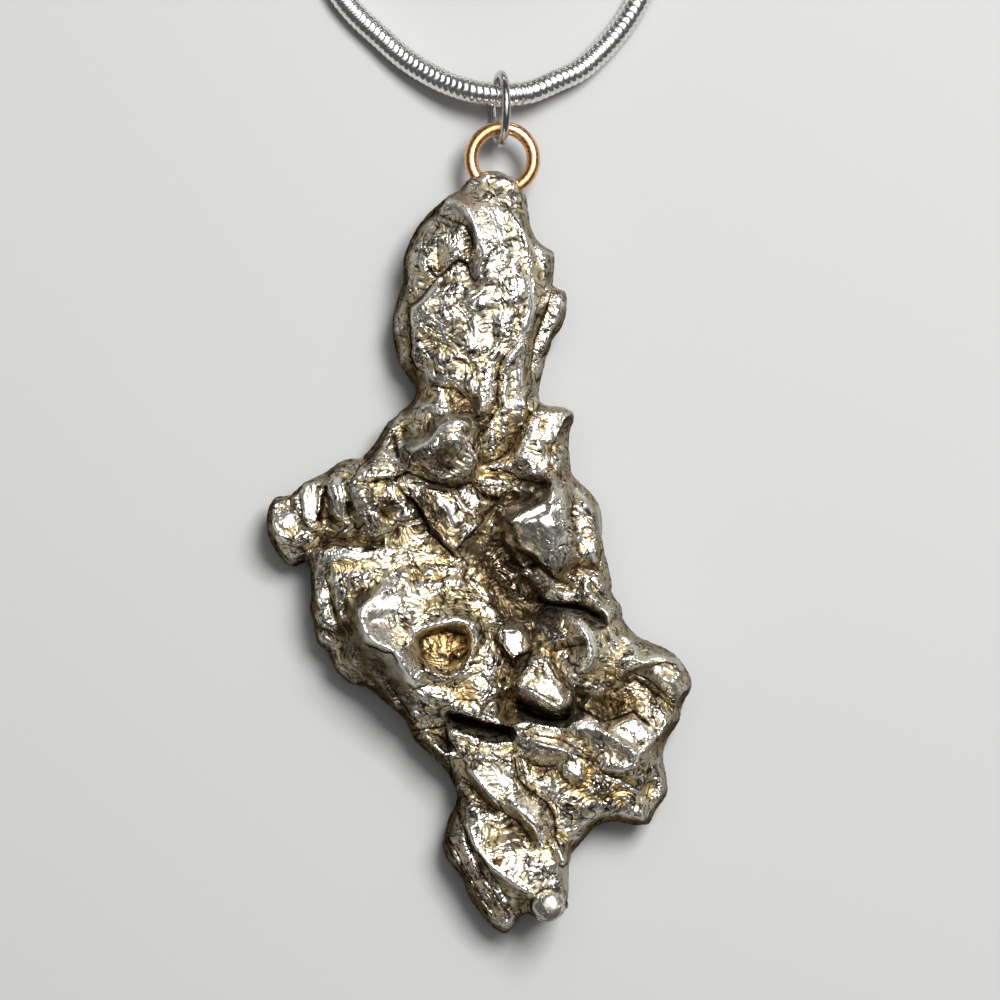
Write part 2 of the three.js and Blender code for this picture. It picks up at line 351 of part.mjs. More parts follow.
const LEFT_SIDE = {
  scarp: [[353, 606, 7.8], [351, 618, 7.2], [351, 631, 6.8], [355, 645, 6.8], [362, 657, 6.9]],
  scarpLine: [[362, 646, 8.4], [371, 651, 8.5], [382, 652, 8.8], [391, 656, 8.9], [396, 666, 8.8]],
  underLeaf: [[371, 660, 7.6], [382, 663, 7.9], [389, 671, 7.9]],
  ribUpper: [[396, 675, 8.1], [402, 688, 7.7], [408, 701, 7.3], [415, 714, 6.8]],
  ribUpperGap: [[391, 682, 6.9], [397, 695, 6.6], [404, 709, 6.2], [413, 722, 5.6]],
  ribMiddle: [[371, 673, 6.9], [382, 684, 6.8], [391, 697, 6.5], [400, 711, 6.1], [408, 722, 5.6]],
  ribMiddleGap: [[362, 671, 5.8], [372, 682, 5.6], [383, 694, 5.4], [392, 705, 5.0]],
  ribLower: [[346, 642, 6.0], [349, 656, 6.0], [355, 668, 5.9], [365, 679, 5.6], [374, 689, 5.2]],
  ribLowerGap: [[340, 646, 5.0], [342, 660, 4.8], [348, 672, 4.6], [358, 682, 4.4]],
  hem: [[334, 657, 4.5], [337, 668, 4.4], [346, 680, 4.2]],
};

const LEFT_WING = {
  knobTop: [[273, 501, 4.9], [280, 499, 5.1]],
  knobCrack: [[270, 509, 4.5], [277, 508, 4.7], [285, 506, 5.0]],
  knob: [[272, 520, 5.4], [279, 530, 5.9], [277, 543, 5.4]],
  knobFolds: [[287, 521, 6.4], [292, 534, 6.3], [297, 541, 6.0]],
  knobPit: [[284, 545, 5.0], [290, 554, 4.6]],
  wingEdge: [[292, 497, 5.8], [300, 489, 5.7], [310, 484, 5.6]],
  groove1: [[301, 499, 5.9], [302, 512, 6.1], [302, 526, 6.0]],
  rib1: [[307, 492, 6.2], [307, 508, 6.8], [308, 523, 6.7]],
  rib2: [[316, 488, 6.2], [317, 503, 6.8], [316, 518, 6.6]],
  recessRim: [[321, 490, 6.0], [321, 505, 6.2], [319, 518, 6.1], [313, 532, 5.9], [305, 543, 5.6]],
  recess: [[326, 491, 5.8], [327, 504, 5.6], [328, 518, 5.4], [333, 530, 5.3], [344, 533, 5.4]],
  recessFloor: [[319, 537, 5.3], [330, 540, 5.0]],
  plateLeft: [[331, 484, 6.5], [333, 497, 6.8], [336, 509, 6.7], [344, 518, 6.4]],
  plateTop: [[339, 487, 7.1], [340, 500, 7.2]],
  plateRight: [[346, 482, 6.9], [346, 495, 7.1], [346, 508, 6.9]],
  crownPlates: [[331, 474, 5.2], [340, 468, 5.6], [351, 464, 5.8]],
  crownCrease: [[333, 478, 5.8], [345, 476, 6.1], [353, 470, 6.2]],
  groove: [[349, 484, 5.9], [349, 498, 5.8], [350, 512, 5.8], [355, 522, 5.9], [361, 527, 6]],
  hookRidge: [[361, 465, 6.3], [355, 477, 7.0], [354, 490, 7.5], [355, 503, 7.5], [359, 514, 7.2],
    [366, 520, 6.9]],
  shoulder: [[362, 490, 8.0], [366, 500, 8.1], [373, 507, 7.8], [381, 508, 7.3]],
  lobe: [[372, 519, 7.4], [382, 523, 7.5], [379, 532, 7.1]],
  lobeRim: [[362, 533, 6.3], [372, 538, 6.4], [383, 538, 6.4], [390, 530, 6.4], [390, 519, 6.5]],
  lobeShadow: [[355, 539, 5.2], [368, 543, 5.2], [382, 543, 5.4], [393, 535, 5.6]],
  brownPlain: [[377, 490, 6.8], [392, 496, 7.0], [406, 507, 7.0]],
  brownLower: [[385, 512, 6.4], [395, 518, 6.6], [407, 520, 6.6], [417, 519, 6.2]],
  brownLine: [[393, 525, 5.8], [406, 525, 6.0], [418, 525, 5.8]],
  brownUpper: [[366, 484, 6.6], [380, 484, 6.6], [394, 487, 6.8]],
};

const SPIKE = {
  crest: [[385, 443, 5.2], [380, 453, 6.3], [374, 463, 7.0], [367, 472, 7.4]],
  rightCrest: [[388, 447, 5.4], [393, 456, 6.2], [397, 464, 6.8], [396, 472, 6.9]],
  face: [[386, 460, 6.4], [384, 471, 7.0]],
  rim: [[364, 477, 7.3], [375, 477, 7.5], [387, 476, 7.4]],
  shadow: [[371, 481, 6.0], [383, 481, 6.0], [394, 481, 5.9]],
  flank: [[377, 441, 4.5], [370, 454, 5.0], [363, 467, 5.8]],
  neckFlank: [[391, 430, 4.9], [391, 442, 5.3], [396, 451, 6.0]],
};

const LEFT_BODY = {
  underWing: [[300, 552, 4.7], [312, 550, 4.8], [325, 545, 4.8], [338, 540, 4.8], [348, 542, 5.0]],
  bandRim: [[315, 556, 5.6], [328, 548, 6.2], [342, 546, 6.5], [357, 547, 6.6], [371, 549, 6.7],
    [386, 547, 6.6]],
  band: [[328, 560, 6.6], [345, 556, 6.9], [362, 557, 7.0], [379, 556, 6.9]],
  bandCrease: [[331, 567, 6.5], [346, 566, 6.7], [361, 564, 6.8], [376, 565, 6.8], [388, 564, 6.7]],
  bandLower: [[345, 573, 6.9], [362, 573, 7.3], [378, 570, 7.3], [391, 568, 7.2]],
  hip: [[318, 568, 5.9], [316, 579, 5.6]],
  slope: [[352, 587, 7.1], [366, 584, 7.5], [380, 577, 7.6]],
  slopeFoot: [[357, 598, 6.9], [368, 592, 7.6], [381, 583, 7.9]],
  crack: [[326, 578, 5.8], [330, 590, 5.5], [332, 603, 5.4], [336, 615, 5.3]],
  rightPlate: [[334, 580, 6.7], [337, 592, 6.7], [339, 604, 6.6], [342, 615, 6.3]],
  rightPlain: [[345, 596, 6.8], [347, 583, 6.9]],
  leftPlate: [[318, 593, 5.8], [320, 606, 5.9], [325, 617, 5.8]],
  plateRim: [[315, 617, 5.2], [322, 625, 5.2], [332, 627, 5.3], [340, 624, 5.6]],
  plateShadow: [[316, 631, 4.5], [326, 634, 4.5], [337, 632, 4.7]],
  chip: [[320, 638, 4.6], [329, 644, 4.4]],
  gully: [[347, 607, 6.1], [344, 618, 5.5], [344, 630, 5.3]],
};

const SKIRT = {
  seam: [[446, 727, 6], [436, 727, 5.7], [425, 729, 5.4], [415, 733, 4.8]],
  jawLip: [[452, 728, 6.9], [464, 732, 7.1], [477, 738, 7.1], [491, 741, 7.2], [505, 740, 7.2]],
  notch: [[434, 735, 4.6], [441, 739, 4.3], [448, 745, 4.6]],
  leftTeeth: [[418, 738, 5.1], [428, 738, 5.6], [436, 746, 6.1], [445, 754, 6.4]],
  chip: [[451, 735, 7.0], [460, 737, 7.0]],
  chipFoot: [[454, 748, 5.9], [462, 744, 6.2]],
  plain: [[470, 747, 6.7], [483, 745, 7.1], [497, 746, 7.2]],
  hem: [[421, 748, 4.8], [432, 758, 4.8], [444, 766, 4.8]],
  lipCrease: [[484, 750, 6.9], [498, 752, 6.8], [511, 752, 6.6]],
  lipCrest: [[476, 760, 7.5], [486, 756, 7.8], [498, 757, 7.8], [510, 757, 7.5]],
  whitePlain: [[484, 768, 7.5], [498, 772, 7.6], [494, 784, 7.6], [509, 787, 7.5]],
  whiteRim: [[471, 769, 7.3], [480, 782, 7.5], [489, 793, 7.5], [499, 803, 7.4]],
  whiteFoot: [[463, 771, 5.6], [471, 784, 5.5], [481, 797, 5.5], [491, 808, 5.6]],
  flank: [[455, 779, 4.9], [462, 791, 4.9]],
  crack: [[514, 748, 6.7], [515, 760, 6.5], [517, 772, 6.4], [523, 784, 6.3], [533, 791, 6.2],
    [543, 799, 6.1],
    [550, 808, 6], [553, 820, 5.9], [556, 833, 5.9]],
  crackLeft: [[509, 765, 7.3], [511, 778, 7.3], [519, 792, 7.3], [532, 800, 7.2], [542, 809, 7.1],
    [547, 821, 7.0], [549, 832, 6.8]],
  crackRight: [[522, 757, 7.1], [526, 770, 7.2], [531, 781, 7.2], [541, 788, 7.1], [551, 797, 7.0],
    [558, 808, 6.9], [561, 822, 6.6]],
  shineCrest: [[511, 799, 7.7], [519, 807, 8.2], [528, 815, 8.3], [535, 823, 8.2], [540, 835, 7.8]],
  shineFoot: [[504, 811, 6.2], [514, 820, 6.2], [523, 829, 6.2], [531, 838, 6.2]],
};

const RIGHT_FOOT = {
  gateRim: [[514, 725, 7.8], [524, 722, 7.6], [539, 724, 7.4], [553, 725, 7.2], [563, 727, 7.2]],
  gateCrease: [[527, 729, 7.1], [541, 733, 7.0], [556, 736, 6.8], [569, 743, 6.6], [579, 751, 6.4]],
  gateCrest: [[518, 732, 7.8], [530, 738, 8.4], [543, 742, 8.7], [556, 745, 8.5], [569, 752, 8.0]],
  gateBelly: [[525, 748, 7.8], [539, 754, 7.8], [551, 757, 7.7]],
  gateFoot: [[521, 758, 6.9], [532, 764, 6.6], [545, 767, 6.5], [558, 765, 6.8]],
  lobeCrest: [[566, 725, 7.8], [575, 719, 8.1], [586, 717, 8.2], [597, 720, 8.0]],
  lobeShine: [[574, 728, 8.4], [586, 726, 8.5], [598, 727, 8.4]],
  lobeBelly: [[580, 738, 7.6], [592, 741, 7.7], [598, 751, 7.6]],
  bandCrest: [[607, 732, 8.5], [618, 739, 8.8], [628, 746, 8.8], [636, 753, 8.5]],
  bandBelly: [[607, 747, 8.0], [618, 756, 8.0]],
  facetGroove: [[615, 724, 7.6], [626, 734, 7.7], [638, 744, 7.8]],
  facet: [[624, 719, 7.4], [634, 717, 7.5], [643, 725, 7.6], [650, 736, 7.4]],
  facetRim: [[644, 744, 8.2], [651, 740, 7.8]],
  facetShadow: [[603, 719, 6.2], [614, 716, 6], [624, 711, 5.9], [633, 709, 5.9], [643, 715, 6],
    [652, 724, 6]],
  rollCrest: [[603, 765, 7.9], [615, 765, 8.3], [627, 765, 8.3], [638, 758, 8.0]],
  rollFoot: [[602, 774, 6.8], [614, 778, 6.9], [627, 783, 6.7], [639, 788, 6.3]],
  rollSide: [[650, 752, 6.6], [648, 765, 6.4], [645, 778, 6.2]],
  toothLeft: [[561, 756, 7.4], [567, 767, 7.9], [574, 775, 8.0]],
  toothRight: [[579, 757, 7.8], [583, 768, 8.0], [581, 777, 7.8]],
  toothFoot: [[568, 783, 6.9], [577, 785, 6.9], [586, 780, 6.8], [589, 768, 6.8], [587, 757, 6.8]],
  wedge: [[594, 770, 7.3], [597, 779, 7.2]],
  apron: [[545, 779, 7.2], [560, 790, 7.2], [577, 796, 7.0], [594, 794, 6.9], [611, 793, 6.7],
    [628, 797, 6.5]],
  apronLower: [[568, 812, 6.8], [585, 811, 6.6], [603, 808, 6.4], [621, 811, 6.1], [639, 811, 6.0]],
  hem: [[566, 829, 6.2], [580, 826, 6.0], [594, 817, 5.9]],
  hemCrease: [[571, 848, 4.6], [582, 839, 4.6], [593, 829, 4.6]],
  hemEdge: [[569, 839, 5.5], [580, 832, 5.5], [590, 824, 5.4]],
  sideHollow: [[650, 787, 4.5], [652, 797, 4.7]],
  sideCrest: [[659, 774, 5.2], [661, 789, 5.1], [657, 801, 5.0]],
  cornerLump: [[643, 820, 5.6]],
};

const TAIL = {
  shoulder: [[462, 806, 5.9], [474, 808, 6.5], [487, 813, 6.6]],
  upperPocket: [[490, 826, 6.6], [499, 836, 6.7]],
  upperPlain: [[477, 824, 7.2], [487, 845, 7.5], [507, 848, 7.5]],
  pocketCrease: [[519, 840, 6.9], [530, 847, 7.1], [541, 850, 7.2]],
  ridge: [[467, 824, 6.9], [472, 838, 7.4], [479, 850, 7.7], [490, 862, 7.9], [503, 873, 8.0],
    [515, 881, 8.0], [527, 889, 7.8]],
  plain: [[507, 863, 7.8], [522, 870, 7.9], [537, 877, 7.8], [540, 862, 7.9]],
  rightCrest: [[556, 844, 7.5], [562, 855, 8.0], [565, 868, 8.0], [566, 881, 7.7]],
  rightGroove: [[551, 849, 7.2], [556, 862, 7.4], [558, 876, 7.4]],
  knobCrease: [[531, 895, 7.2], [540, 889, 7.3], [550, 891, 7.4], [560, 890, 7.4]],
  knob: [[543, 899, 8.3], [552, 902, 8.4], [560, 899, 8.0]],
  knobLower: [[539, 910, 7.2], [551, 913, 7.0]],
  knobGap: [[529, 903, 6.2], [528, 912, 5.4]],
  scarpFoot: [[465, 832, 6.1], [472, 847, 6.2], [481, 861, 6.3], [490, 874, 6.3], [501, 886, 6.4],
    [512, 898, 6.3]],
  plyA: [[460, 835, 6.1], [467, 851, 6.3], [476, 867, 6.3], [486, 882, 6.3], [496, 897, 6.2],
    [506, 911, 5.8]],
  plyGapA: [[455, 837, 5.5], [462, 854, 5.6], [471, 870, 5.6], [480, 885, 5.6], [489, 900, 5.5],
    [499, 914, 5.2]],
  plyB: [[449, 831, 5.2], [451, 845, 5.2], [458, 860, 5.2], [467, 876, 5.1], [474, 890, 5.2],
    [483, 905, 5.1], [493, 919, 4.8]],
  web: [[513, 909, 5.0], [520, 905, 5.2]],
  toe: [[503, 926, 4.9], [510, 921, 5.0]],
};

const FACE = [
  HEAD, NECK, DIAMOND, HOLLOW, BULGE, RIGHT_FLANK, RIGHT_WING, BEAK, SHIELD, LEFT_SIDE, LEFT_WING, SPIKE,
  LEFT_BODY, SKIRT, RIGHT_FOOT, TAIL,
];

// ---------------------------------------------------------------- ridges, hollows and pads of the back

const BACK = {
  headRidge: [[470, 205, 1.3], [462, 240, 0.9], [450, 275, 0.7], [440, 312, 0.9], [446, 345, 1.2]],
  headHollow: [[500, 235, 1.9], [506, 262, 2.1], [502, 290, 1.9]],
  headSide: [[532, 275, 1.5], [540, 305, 1.4]],
  headLeft: [[418, 262, 1.8], [412, 300, 1.7]],
  throatHollow: [[470, 372, 2.0], [492, 382, 2.3], [512, 378, 2.1]],
  neckRidge: [[415, 420, 1.3], [440, 432, 0.9], [468, 428, 0.8], [500, 420, 0.9], [528, 428, 1.2]],
  neckHollow: [[440, 462, 1.9], [462, 470, 2.1], [486, 462, 1.9]],
  shoulderRidge: [[540, 462, 1.1], [556, 492, 0.7], [566, 528, 0.6], [566, 560, 0.8]],
  wingHollow: [[296, 520, 1.4], [318, 512, 1.9], [342, 504, 1.8]],
  wingRidge: [[360, 480, 1.2], [378, 504, 0.8], [392, 530, 0.6], [398, 556, 0.7]],
  leftHollow: [[420, 500, 1.6], [432, 522, 2.0], [434, 548, 1.9]],
  centreHollow: [[500, 515, 1.5], [506, 542, 2.0], [500, 570, 1.9]],
  flankHollow: [[588, 540, 1.3], [592, 566, 1.5]],
  bodyRidge: [[330, 620, 1.1], [352, 640, 0.8], [384, 652, 0.7], [414, 646, 0.8], [436, 630, 1.0]],
  bodyHollow: [[380, 600, 1.9], [402, 610, 2.1], [424, 596, 1.8]],
  lowerHollow: [[372, 672, 1.4], [400, 690, 1.9], [428, 698, 2.0]],
  rightHollow: [[548, 640, 1.8], [566, 652, 2.1], [572, 676, 1.9]],
  farWing: [[640, 660, 1.3], [656, 676, 1.2]],
  skirtRidge: [[452, 740, 1.0], [480, 722, 0.7], [512, 716, 0.6], [548, 722, 0.8]],
  footHollow: [[560, 770, 1.7], [584, 782, 2.0], [610, 776, 1.7]],
  footRidge: [[572, 812, 0.9], [604, 806, 0.7], [636, 802, 1.0]],
  tailHollow: [[488, 788, 1.7], [506, 800, 2.0], [520, 816, 1.8]],
  tailSide: [[470, 850, 1.2], [482, 880, 1.1]],
};

// Worn flat patches that the lump lies on, [u, v, radius in mm]: they all lie in the plane z = 0.
const PADS = {
  head: [478, 318, 1.9],
  leftBody: [352, 568, 2.1],
  middle: [474, 600, 2.6],
  rightFoot: [618, 712, 2.2],
  tail: [528, 868, 1.9],
};
const PAD_SIDES = 8;

// ---------------------------------------------------------------- the wire loop and the jump ring

const LOOP = { u: 502.4, v: 157, wire: 1.15, outerDiameter: 6.2, height: 3.2, sides: 10, steps: 32 };
const RING = { u: 500.5, wire: 0.75, outerDiameter: 6.3, turnedDegrees: 10, sides: 8, steps: 30 };

// ---------------------------------------------------------------- the snake chain

const CHAIN = { diameter: 1.9, sides: 8, step: 4 }; // step: mm between the sections of its tube

// The centre line of the chain that isn't coiled, [u, v, height]: from the left of the coil, through
// the jump ring, to the right of the coil.
const CHAIN_ROUTE = [
  [317, -108, 1.0], [318, -75, 1.0], [325, -40, 1.0], [338, -12, 1.0], [353.6, 7.7, 1.0], [376.5, 29.3, 1.1],
  [407, 56, 1.4], [443, 77.5, 2.1], [472, 88, 2.75], [502, 92.5, 2.95], [531, 88.5, 2.75], [555, 77.8, 2.2],
  [580.6, 65, 1.6], [601, 47, 1.2], [618.9, 26.8, 1.0], [634.2, 5, 1.0], [648, -22, 1.0], [658, -52, 1.2],
  [664, -85, 1.6], [665, -108, 1.9],
];

// The coil lies flat: two layers of turns side by side, wound from the outside in and out again.
const COIL = { u: 493, v: -190, innerTurn: 7, turns: 3, pitch: 2, layers: 2, ground: 0.05, sides: 48 };

// ---------------------------------------------------------------- points on the plan grid

function toPlan([u, v, height]) {
  return new THREE.Vector3((u - PLAN_ORIGIN.u) * GRID, (PLAN_ORIGIN.v - v) * GRID, height);
}

function pointsAlong(knots, step, closed = false) {
  if (knots.length === 1) return knots.map(toPlan);
  const curve = new THREE.CatmullRomCurve3(knots.map(toPlan), closed, 'centripetal');
  const points = curve.getSpacedPoints(Math.max(1, Math.round(curve.getLength() / step)));
  return closed ? points.slice(0, -1) : points;
}

// A repeatable number between -0.5 and 0.5 for each seed.
function jitter(seed) {
  const wave = Math.sin(seed * 12.9898) * 43758.5453;
  return wave - Math.floor(wave) - 0.5;
}

// Points in plan, with a quick answer to "is anything closer than this?".
class PlanPoints {
  constructor(cell = 1) {
    this.cell = cell;
    this.list = [];
    this.cells = new Map();
  }

  key(x, y) {
    return `${Math.floor(x / this.cell)},${Math.floor(y / this.cell)}`;
  }

  isClear(x, y, distance) {
    for (let i = -1; i <= 1; i += 1) {
      for (let j = -1; j <= 1; j += 1) {
        const near = this.cells.get(this.key(x + i * this.cell, y + j * this.cell)) ?? [];
        if (near.some((p) => Math.hypot(p.x - x, p.y - y) < distance)) return false;
      }
    }
    return true;
  }

  add(point) {
    const key = this.key(point.x, point.y);
    if (!this.cells.has(key)) this.cells.set(key, []);
    this.cells.get(key).push(point);
    this.list.push(point);
  }
}

function isInside(outline, x, y) {
  let inside = false;
  for (let i = 0, j = outline.length - 1; i < outline.length; j = i, i += 1) {
    const a = outline[i];
    const b = outline[j];
    if ((a.y > y) !== (b.y > y) && x < ((b.x - a.x) * (y - a.y)) / (b.y - a.y) + a.x) inside = !inside;
  }
  return inside;
}

// The distance from (x, y) to the outline, and the rim's height at the nearest place.
function nearestRim(outline, x, y) {
  let best = { distance: Infinity, height: 0 };
  for (let i = 0; i < outline.length; i += 1) {
    const a = outline[i];
    const b = outline[(i + 1) % outline.length];
    const along = ((x - a.x) * (b.x - a.x) + (y - a.y) * (b.y - a.y)) / ((b.x - a.x) ** 2 + (b.y - a.y) ** 2);
    const t = THREE.MathUtils.clamp(along, 0, 1);
    const distance = Math.hypot(a.x + t * (b.x - a.x) - x, a.y + t * (b.y - a.y) - y);
    if (distance < best.distance) best = { distance, height: a.z + t * (b.z - a.z) };
  }
  return best;
}

// ---------------------------------------------------------------- Delaunay triangles of a set of plan points

function circumcircle(points, triangle) {
  const [a, b, c] = triangle.map((i) => points[i]);
  const d = 2 * (a.x * (b.y - c.y) + b.x * (c.y - a.y) + c.x * (a.y - b.y));
  const a2 = a.x * a.x + a.y * a.y;
  const b2 = b.x * b.x + b.y * b.y;
  const c2 = c.x * c.x + c.y * c.y;
  const x = (a2 * (b.y - c.y) + b2 * (c.y - a.y) + c2 * (a.y - b.y)) / d;
  const y = (a2 * (c.x - b.x) + b2 * (a.x - c.x) + c2 * (b.x - a.x)) / d;
  return { triangle, x, y, radius2: (a.x - x) ** 2 + (a.y - y) ** 2 };
}

function delaunay(plan) {
  const far = 1000;
  const points = [...plan, { x: -far, y: -far }, { x: far, y: -far }, { x: 0, y: far }];
  let circles = [circumcircle(points, [plan.length, plan.length + 1, plan.length + 2])];
  plan.forEach((point, index) => {
    const rim = new Map();
    const kept = [];
    for (const circle of circles) {
      if ((point.x - circle.x) ** 2 + (point.y - circle.y) ** 2 >= circle.radius2) {
        kept.push(circle);
        continue;
      }
      circle.triangle.forEach((from, corner) => {
        const to = circle.triangle[(corner + 1) % 3];
        if (!rim.delete(`${to},${from}`)) rim.set(`${from},${to}`, [from, to]);
      });
    }
    for (const [from, to] of rim.values()) kept.push(circumcircle(points, [from, to, index]));
    circles = kept;
  });
  const triangles = circles.map((circle) => circle.triangle);
  return triangles.filter((triangle) => triangle.every((i) => i < plan.length));
}

// ---------------------------------------------------------------- one side of the lump

// The outline's points come first, then the row inside the rim, the crests and creases, and the fill.
function sidePoints(outline, curves, fillStep) {
  const taken = new PlanPoints();
  outline.forEach((point) => taken.add({ x: point.x, y: point.y, z: point.z, kind: 'rim' }));
  for (const curve of curves) {
    for (const point of curve) {
      const { x, y, z } = point;
      const room = isInside(outline, x, y) && nearestRim(outline, x, y).distance > RIM_INSET;
      if (room && taken.isClear(x, y, CURVE_STEP * CURVE_ROOM)) taken.add({ x, y, z, kind: 'fixed' });
    }
  }
  outline.forEach((point, i) => {
    const next = outline[(i + 1) % outline.length];
    const length = Math.hypot(next.x - point.x, next.y - point.y);
    const x = (point.x + next.x) / 2 + ((next.y - point.y) / length) * ROW_INSET;
    const y = (point.y + next.y) / 2 - ((next.x - point.x) / length) * ROW_INSET;
    const room = isInside(outline, x, y) && nearestRim(outline, x, y).distance > RIM_INSET;
    if (room && taken.isClear(x, y, CURVE_STEP * ROW_ROOM)) taken.add({ x, y, z: point.z, kind: 'free' });
  });
  const rowStep = fillStep * Math.sqrt(0.75);
  const box = new THREE.Box3().setFromPoints(outline);
  for (let row = 0; box.min.y + row * rowStep < box.max.y; row += 1) {
    for (let column = 0; box.min.x + column * fillStep < box.max.x; column += 1) {
      const seed = row * 131 + column;
      const x = box.min.x + (column + (row % 2) / 2 + jitter(seed) * FILL_JITTER) * fillStep;
      const y = box.min.y + (row + jitter(seed + 0.5) * FILL_JITTER) * rowStep;
      const room = isInside(outline, x, y) && nearestRim(outline, x, y).distance > fillStep * ROW_ROOM;
      if (room && taken.isClear(x, y, fillStep * FILL_ROOM)) taken.add({ x, y, z: 0, kind: 'free' });
    }
  }
  return taken.list;
}

function sideTriangles(outline, points) {
  return delaunay(points).filter((triangle) => {
    const x = triangle.reduce((sum, i) => sum + points[i].x, 0) / 3;
    const y = triangle.reduce((sum, i) => sum + points[i].y, 0) / 3;
    return isInside(outline, x, y);
  });
}

// Free points settle to a taut, slightly swollen skin stretched over the fixed ones.
function settle(points, triangles, bulge) {
  const links = points.map(() => new Map());
  for (const triangle of triangles) {
    triangle.forEach((from, corner) => {
      const to = triangle[(corner + 1) % 3];
      const length2 = (points[from].x - points[to].x) ** 2 + (points[from].y - points[to].y) ** 2;
      links[from].set(to, length2);
      links[to].set(from, length2);
    });
  }
  const fixed = points.filter((point) => point.kind === 'fixed');
  const middle = fixed.reduce((sum, point) => sum + point.z, 0) / fixed.length;
  for (const point of points) point.settled = point.kind === 'fixed' ? point.z : middle;
  for (let round = 0; round < SETTLE_ROUNDS; round += 1) {
    points.forEach((point, i) => {
      if (point.kind === 'fixed') return;
      let weights = 0;
      let heights = 0;
      let spread = 0;
      for (const [other, length2] of links[i]) {
        weights += 1 / length2;
        heights += points[other].settled / length2;
        spread += length2 / links[i].size;
      }
      point.settled = heights / weights + (bulge * spread) / 4;
    });
  }
}

// Near the outline the surface rolls over into the rim along a quarter circle.
function rollRim(outline, points, rounding) {
  for (const point of points.filter(({ kind }) => kind === 'free')) {
    const rim = nearestRim(outline, point.x, point.y);
    const drop = Math.abs(point.settled - rim.height);
    const radius = THREE.MathUtils.clamp(rounding.share * drop, rounding.least, rounding.most);
    const inward = Math.min(1, rim.distance / radius);
    point.z = rim.height + (point.settled - rim.height) * Math.sqrt(1 - (1 - inward) ** 2);
  }
}

function buildSide(outline, curves, fillStep, bulge, rounding) {
  const points = sidePoints(outline, curves, fillStep);
  const triangles = sideTriangles(outline, points);
  settle(points, triangles, bulge);
  rollRim(outline, points, rounding);
  return { points, triangles };
}

// The outline's points, with the rim rising and falling along them.
function wavyOutline() {
  const outline = pointsAlong(OUTLINE, OUTLINE_STEP, true);
  outline.forEach((point, i) => {
    for (const wave of RIM_WAVES) {
      point.z += wave.height * Math.sin((i * OUTLINE_STEP * 2 * Math.PI) / wave.length);
    }
  });
  return outline;
}

// ---------------------------------------------------------------- solids

const wasm = await Module();
wasm.setup();

function toSolid(geometry) {
  const bare = geometry.clone();
  bare.deleteAttribute('normal');
  bare.deleteAttribute('uv');
  const merged = mergeVertices(bare, 1e-5);
  return new wasm.Manifold(new wasm.Mesh({
    numProp: 3,
    vertProperties: new Float32Array(merged.attributes.position.array),
    triVerts: new Uint32Array(merged.index.array),
  }));
}

function toGeometry(solid) {
  const mesh = solid.getMesh();
  const geometry = new THREE.BufferGeometry();
  geometry.setAttribute('position', new THREE.BufferAttribute(new Float32Array(mesh.vertProperties), 3));
  geometry.setIndex(new THREE.BufferAttribute(new Uint32Array(mesh.triVerts), 1));
  geometry.computeVertexNormals();
  return geometry;
}

// A closed skin of two sides that share the outline.
function closedSkin(outline, face, back) {
  const positions = face.points.flatMap((point) => [point.x, point.y, point.z]);
  for (const point of back.points.slice(outline.length)) positions.push(point.x, point.y, point.z);
  const backIndex = (i) => (i < outline.length ? i : i - outline.length + face.points.length);
  const index = face.triangles.flat();
  for (const [a, b, c] of back.triangles) index.push(backIndex(a), backIndex(c), backIndex(b));
  const geometry = new THREE.BufferGeometry();
  geometry.setAttribute('position', new THREE.Float32BufferAttribute(positions, 3));
  geometry.setIndex(index);
  return geometry;
}

function padCurve([u, v, radius]) {
  const centre = toPlan([u, v, 0]);
  const corners = Array.from({ length: PAD_SIDES }, (_, i) => {
    const angle = ((i + 0.5) / PAD_SIDES) * 2 * Math.PI;
    return new THREE.Vector3(centre.x + radius * Math.cos(angle), centre.y + radius * Math.sin(angle), 0);
  });
  return [centre, ...corners];
}

function meteoriteSolid() {
  const outline = wavyOutline();
  const faceCurves = FACE.flatMap(Object.values).map((knots) => pointsAlong(knots, CURVE_STEP));
  const face = buildSide(outline, faceCurves, FACE_STEP, FACE_BULGE, FACE_ROUNDING);
  const backCurves = [
    ...Object.values(PADS).map(padCurve),
    ...Object.values(BACK).map((knots) => pointsAlong(knots, BACK_STEP)),
  ];
  const back = buildSide(outline, backCurves, BACK_STEP, 0, BACK_ROUNDING);
  return toSolid(closedSkin(outline, face, back));
}

function loopGeometry(air = 0) {
  const radius = (LOOP.outerDiameter - LOOP.wire) / 2;
  return new THREE.TorusGeometry(radius, LOOP.wire / 2 + air, LOOP.sides, LOOP.steps);
}

// ---------------------------------------------------------------- materials

const iron = new THREE.MeshStandardMaterial({ color: 0x4a463f, roughness: 0.38, metalness: 1 });
const copper = new THREE.MeshStandardMaterial({ color: 0xb87452, roughness: 0.3, metalness: 1 });
const steel = new THREE.MeshStandardMaterial({ color: 0xb9bcc0, roughness: 0.2, metalness: 1 });

// ---------------------------------------------------------------- the pendant

function makeMeteorite() {
  const seat = toPlan([LOOP.u, LOOP.v, LOOP.height]);
  const tunnel = toSolid(loopGeometry(CLEARANCE).translate(seat.x, seat.y, seat.z));
  const meteorite = new THREE.Mesh(toGeometry(meteoriteSolid().subtract(tunnel)), iron);
  meteorite.name = 'meteorite';
  return meteorite;
}

function makeLoop() {
  const loop = new THREE.Mesh(loopGeometry(), copper);
  loop.name = 'wire_loop';
  loop.position.copy(toPlan([LOOP.u, LOOP.v, LOOP.height]));
  return loop;
}

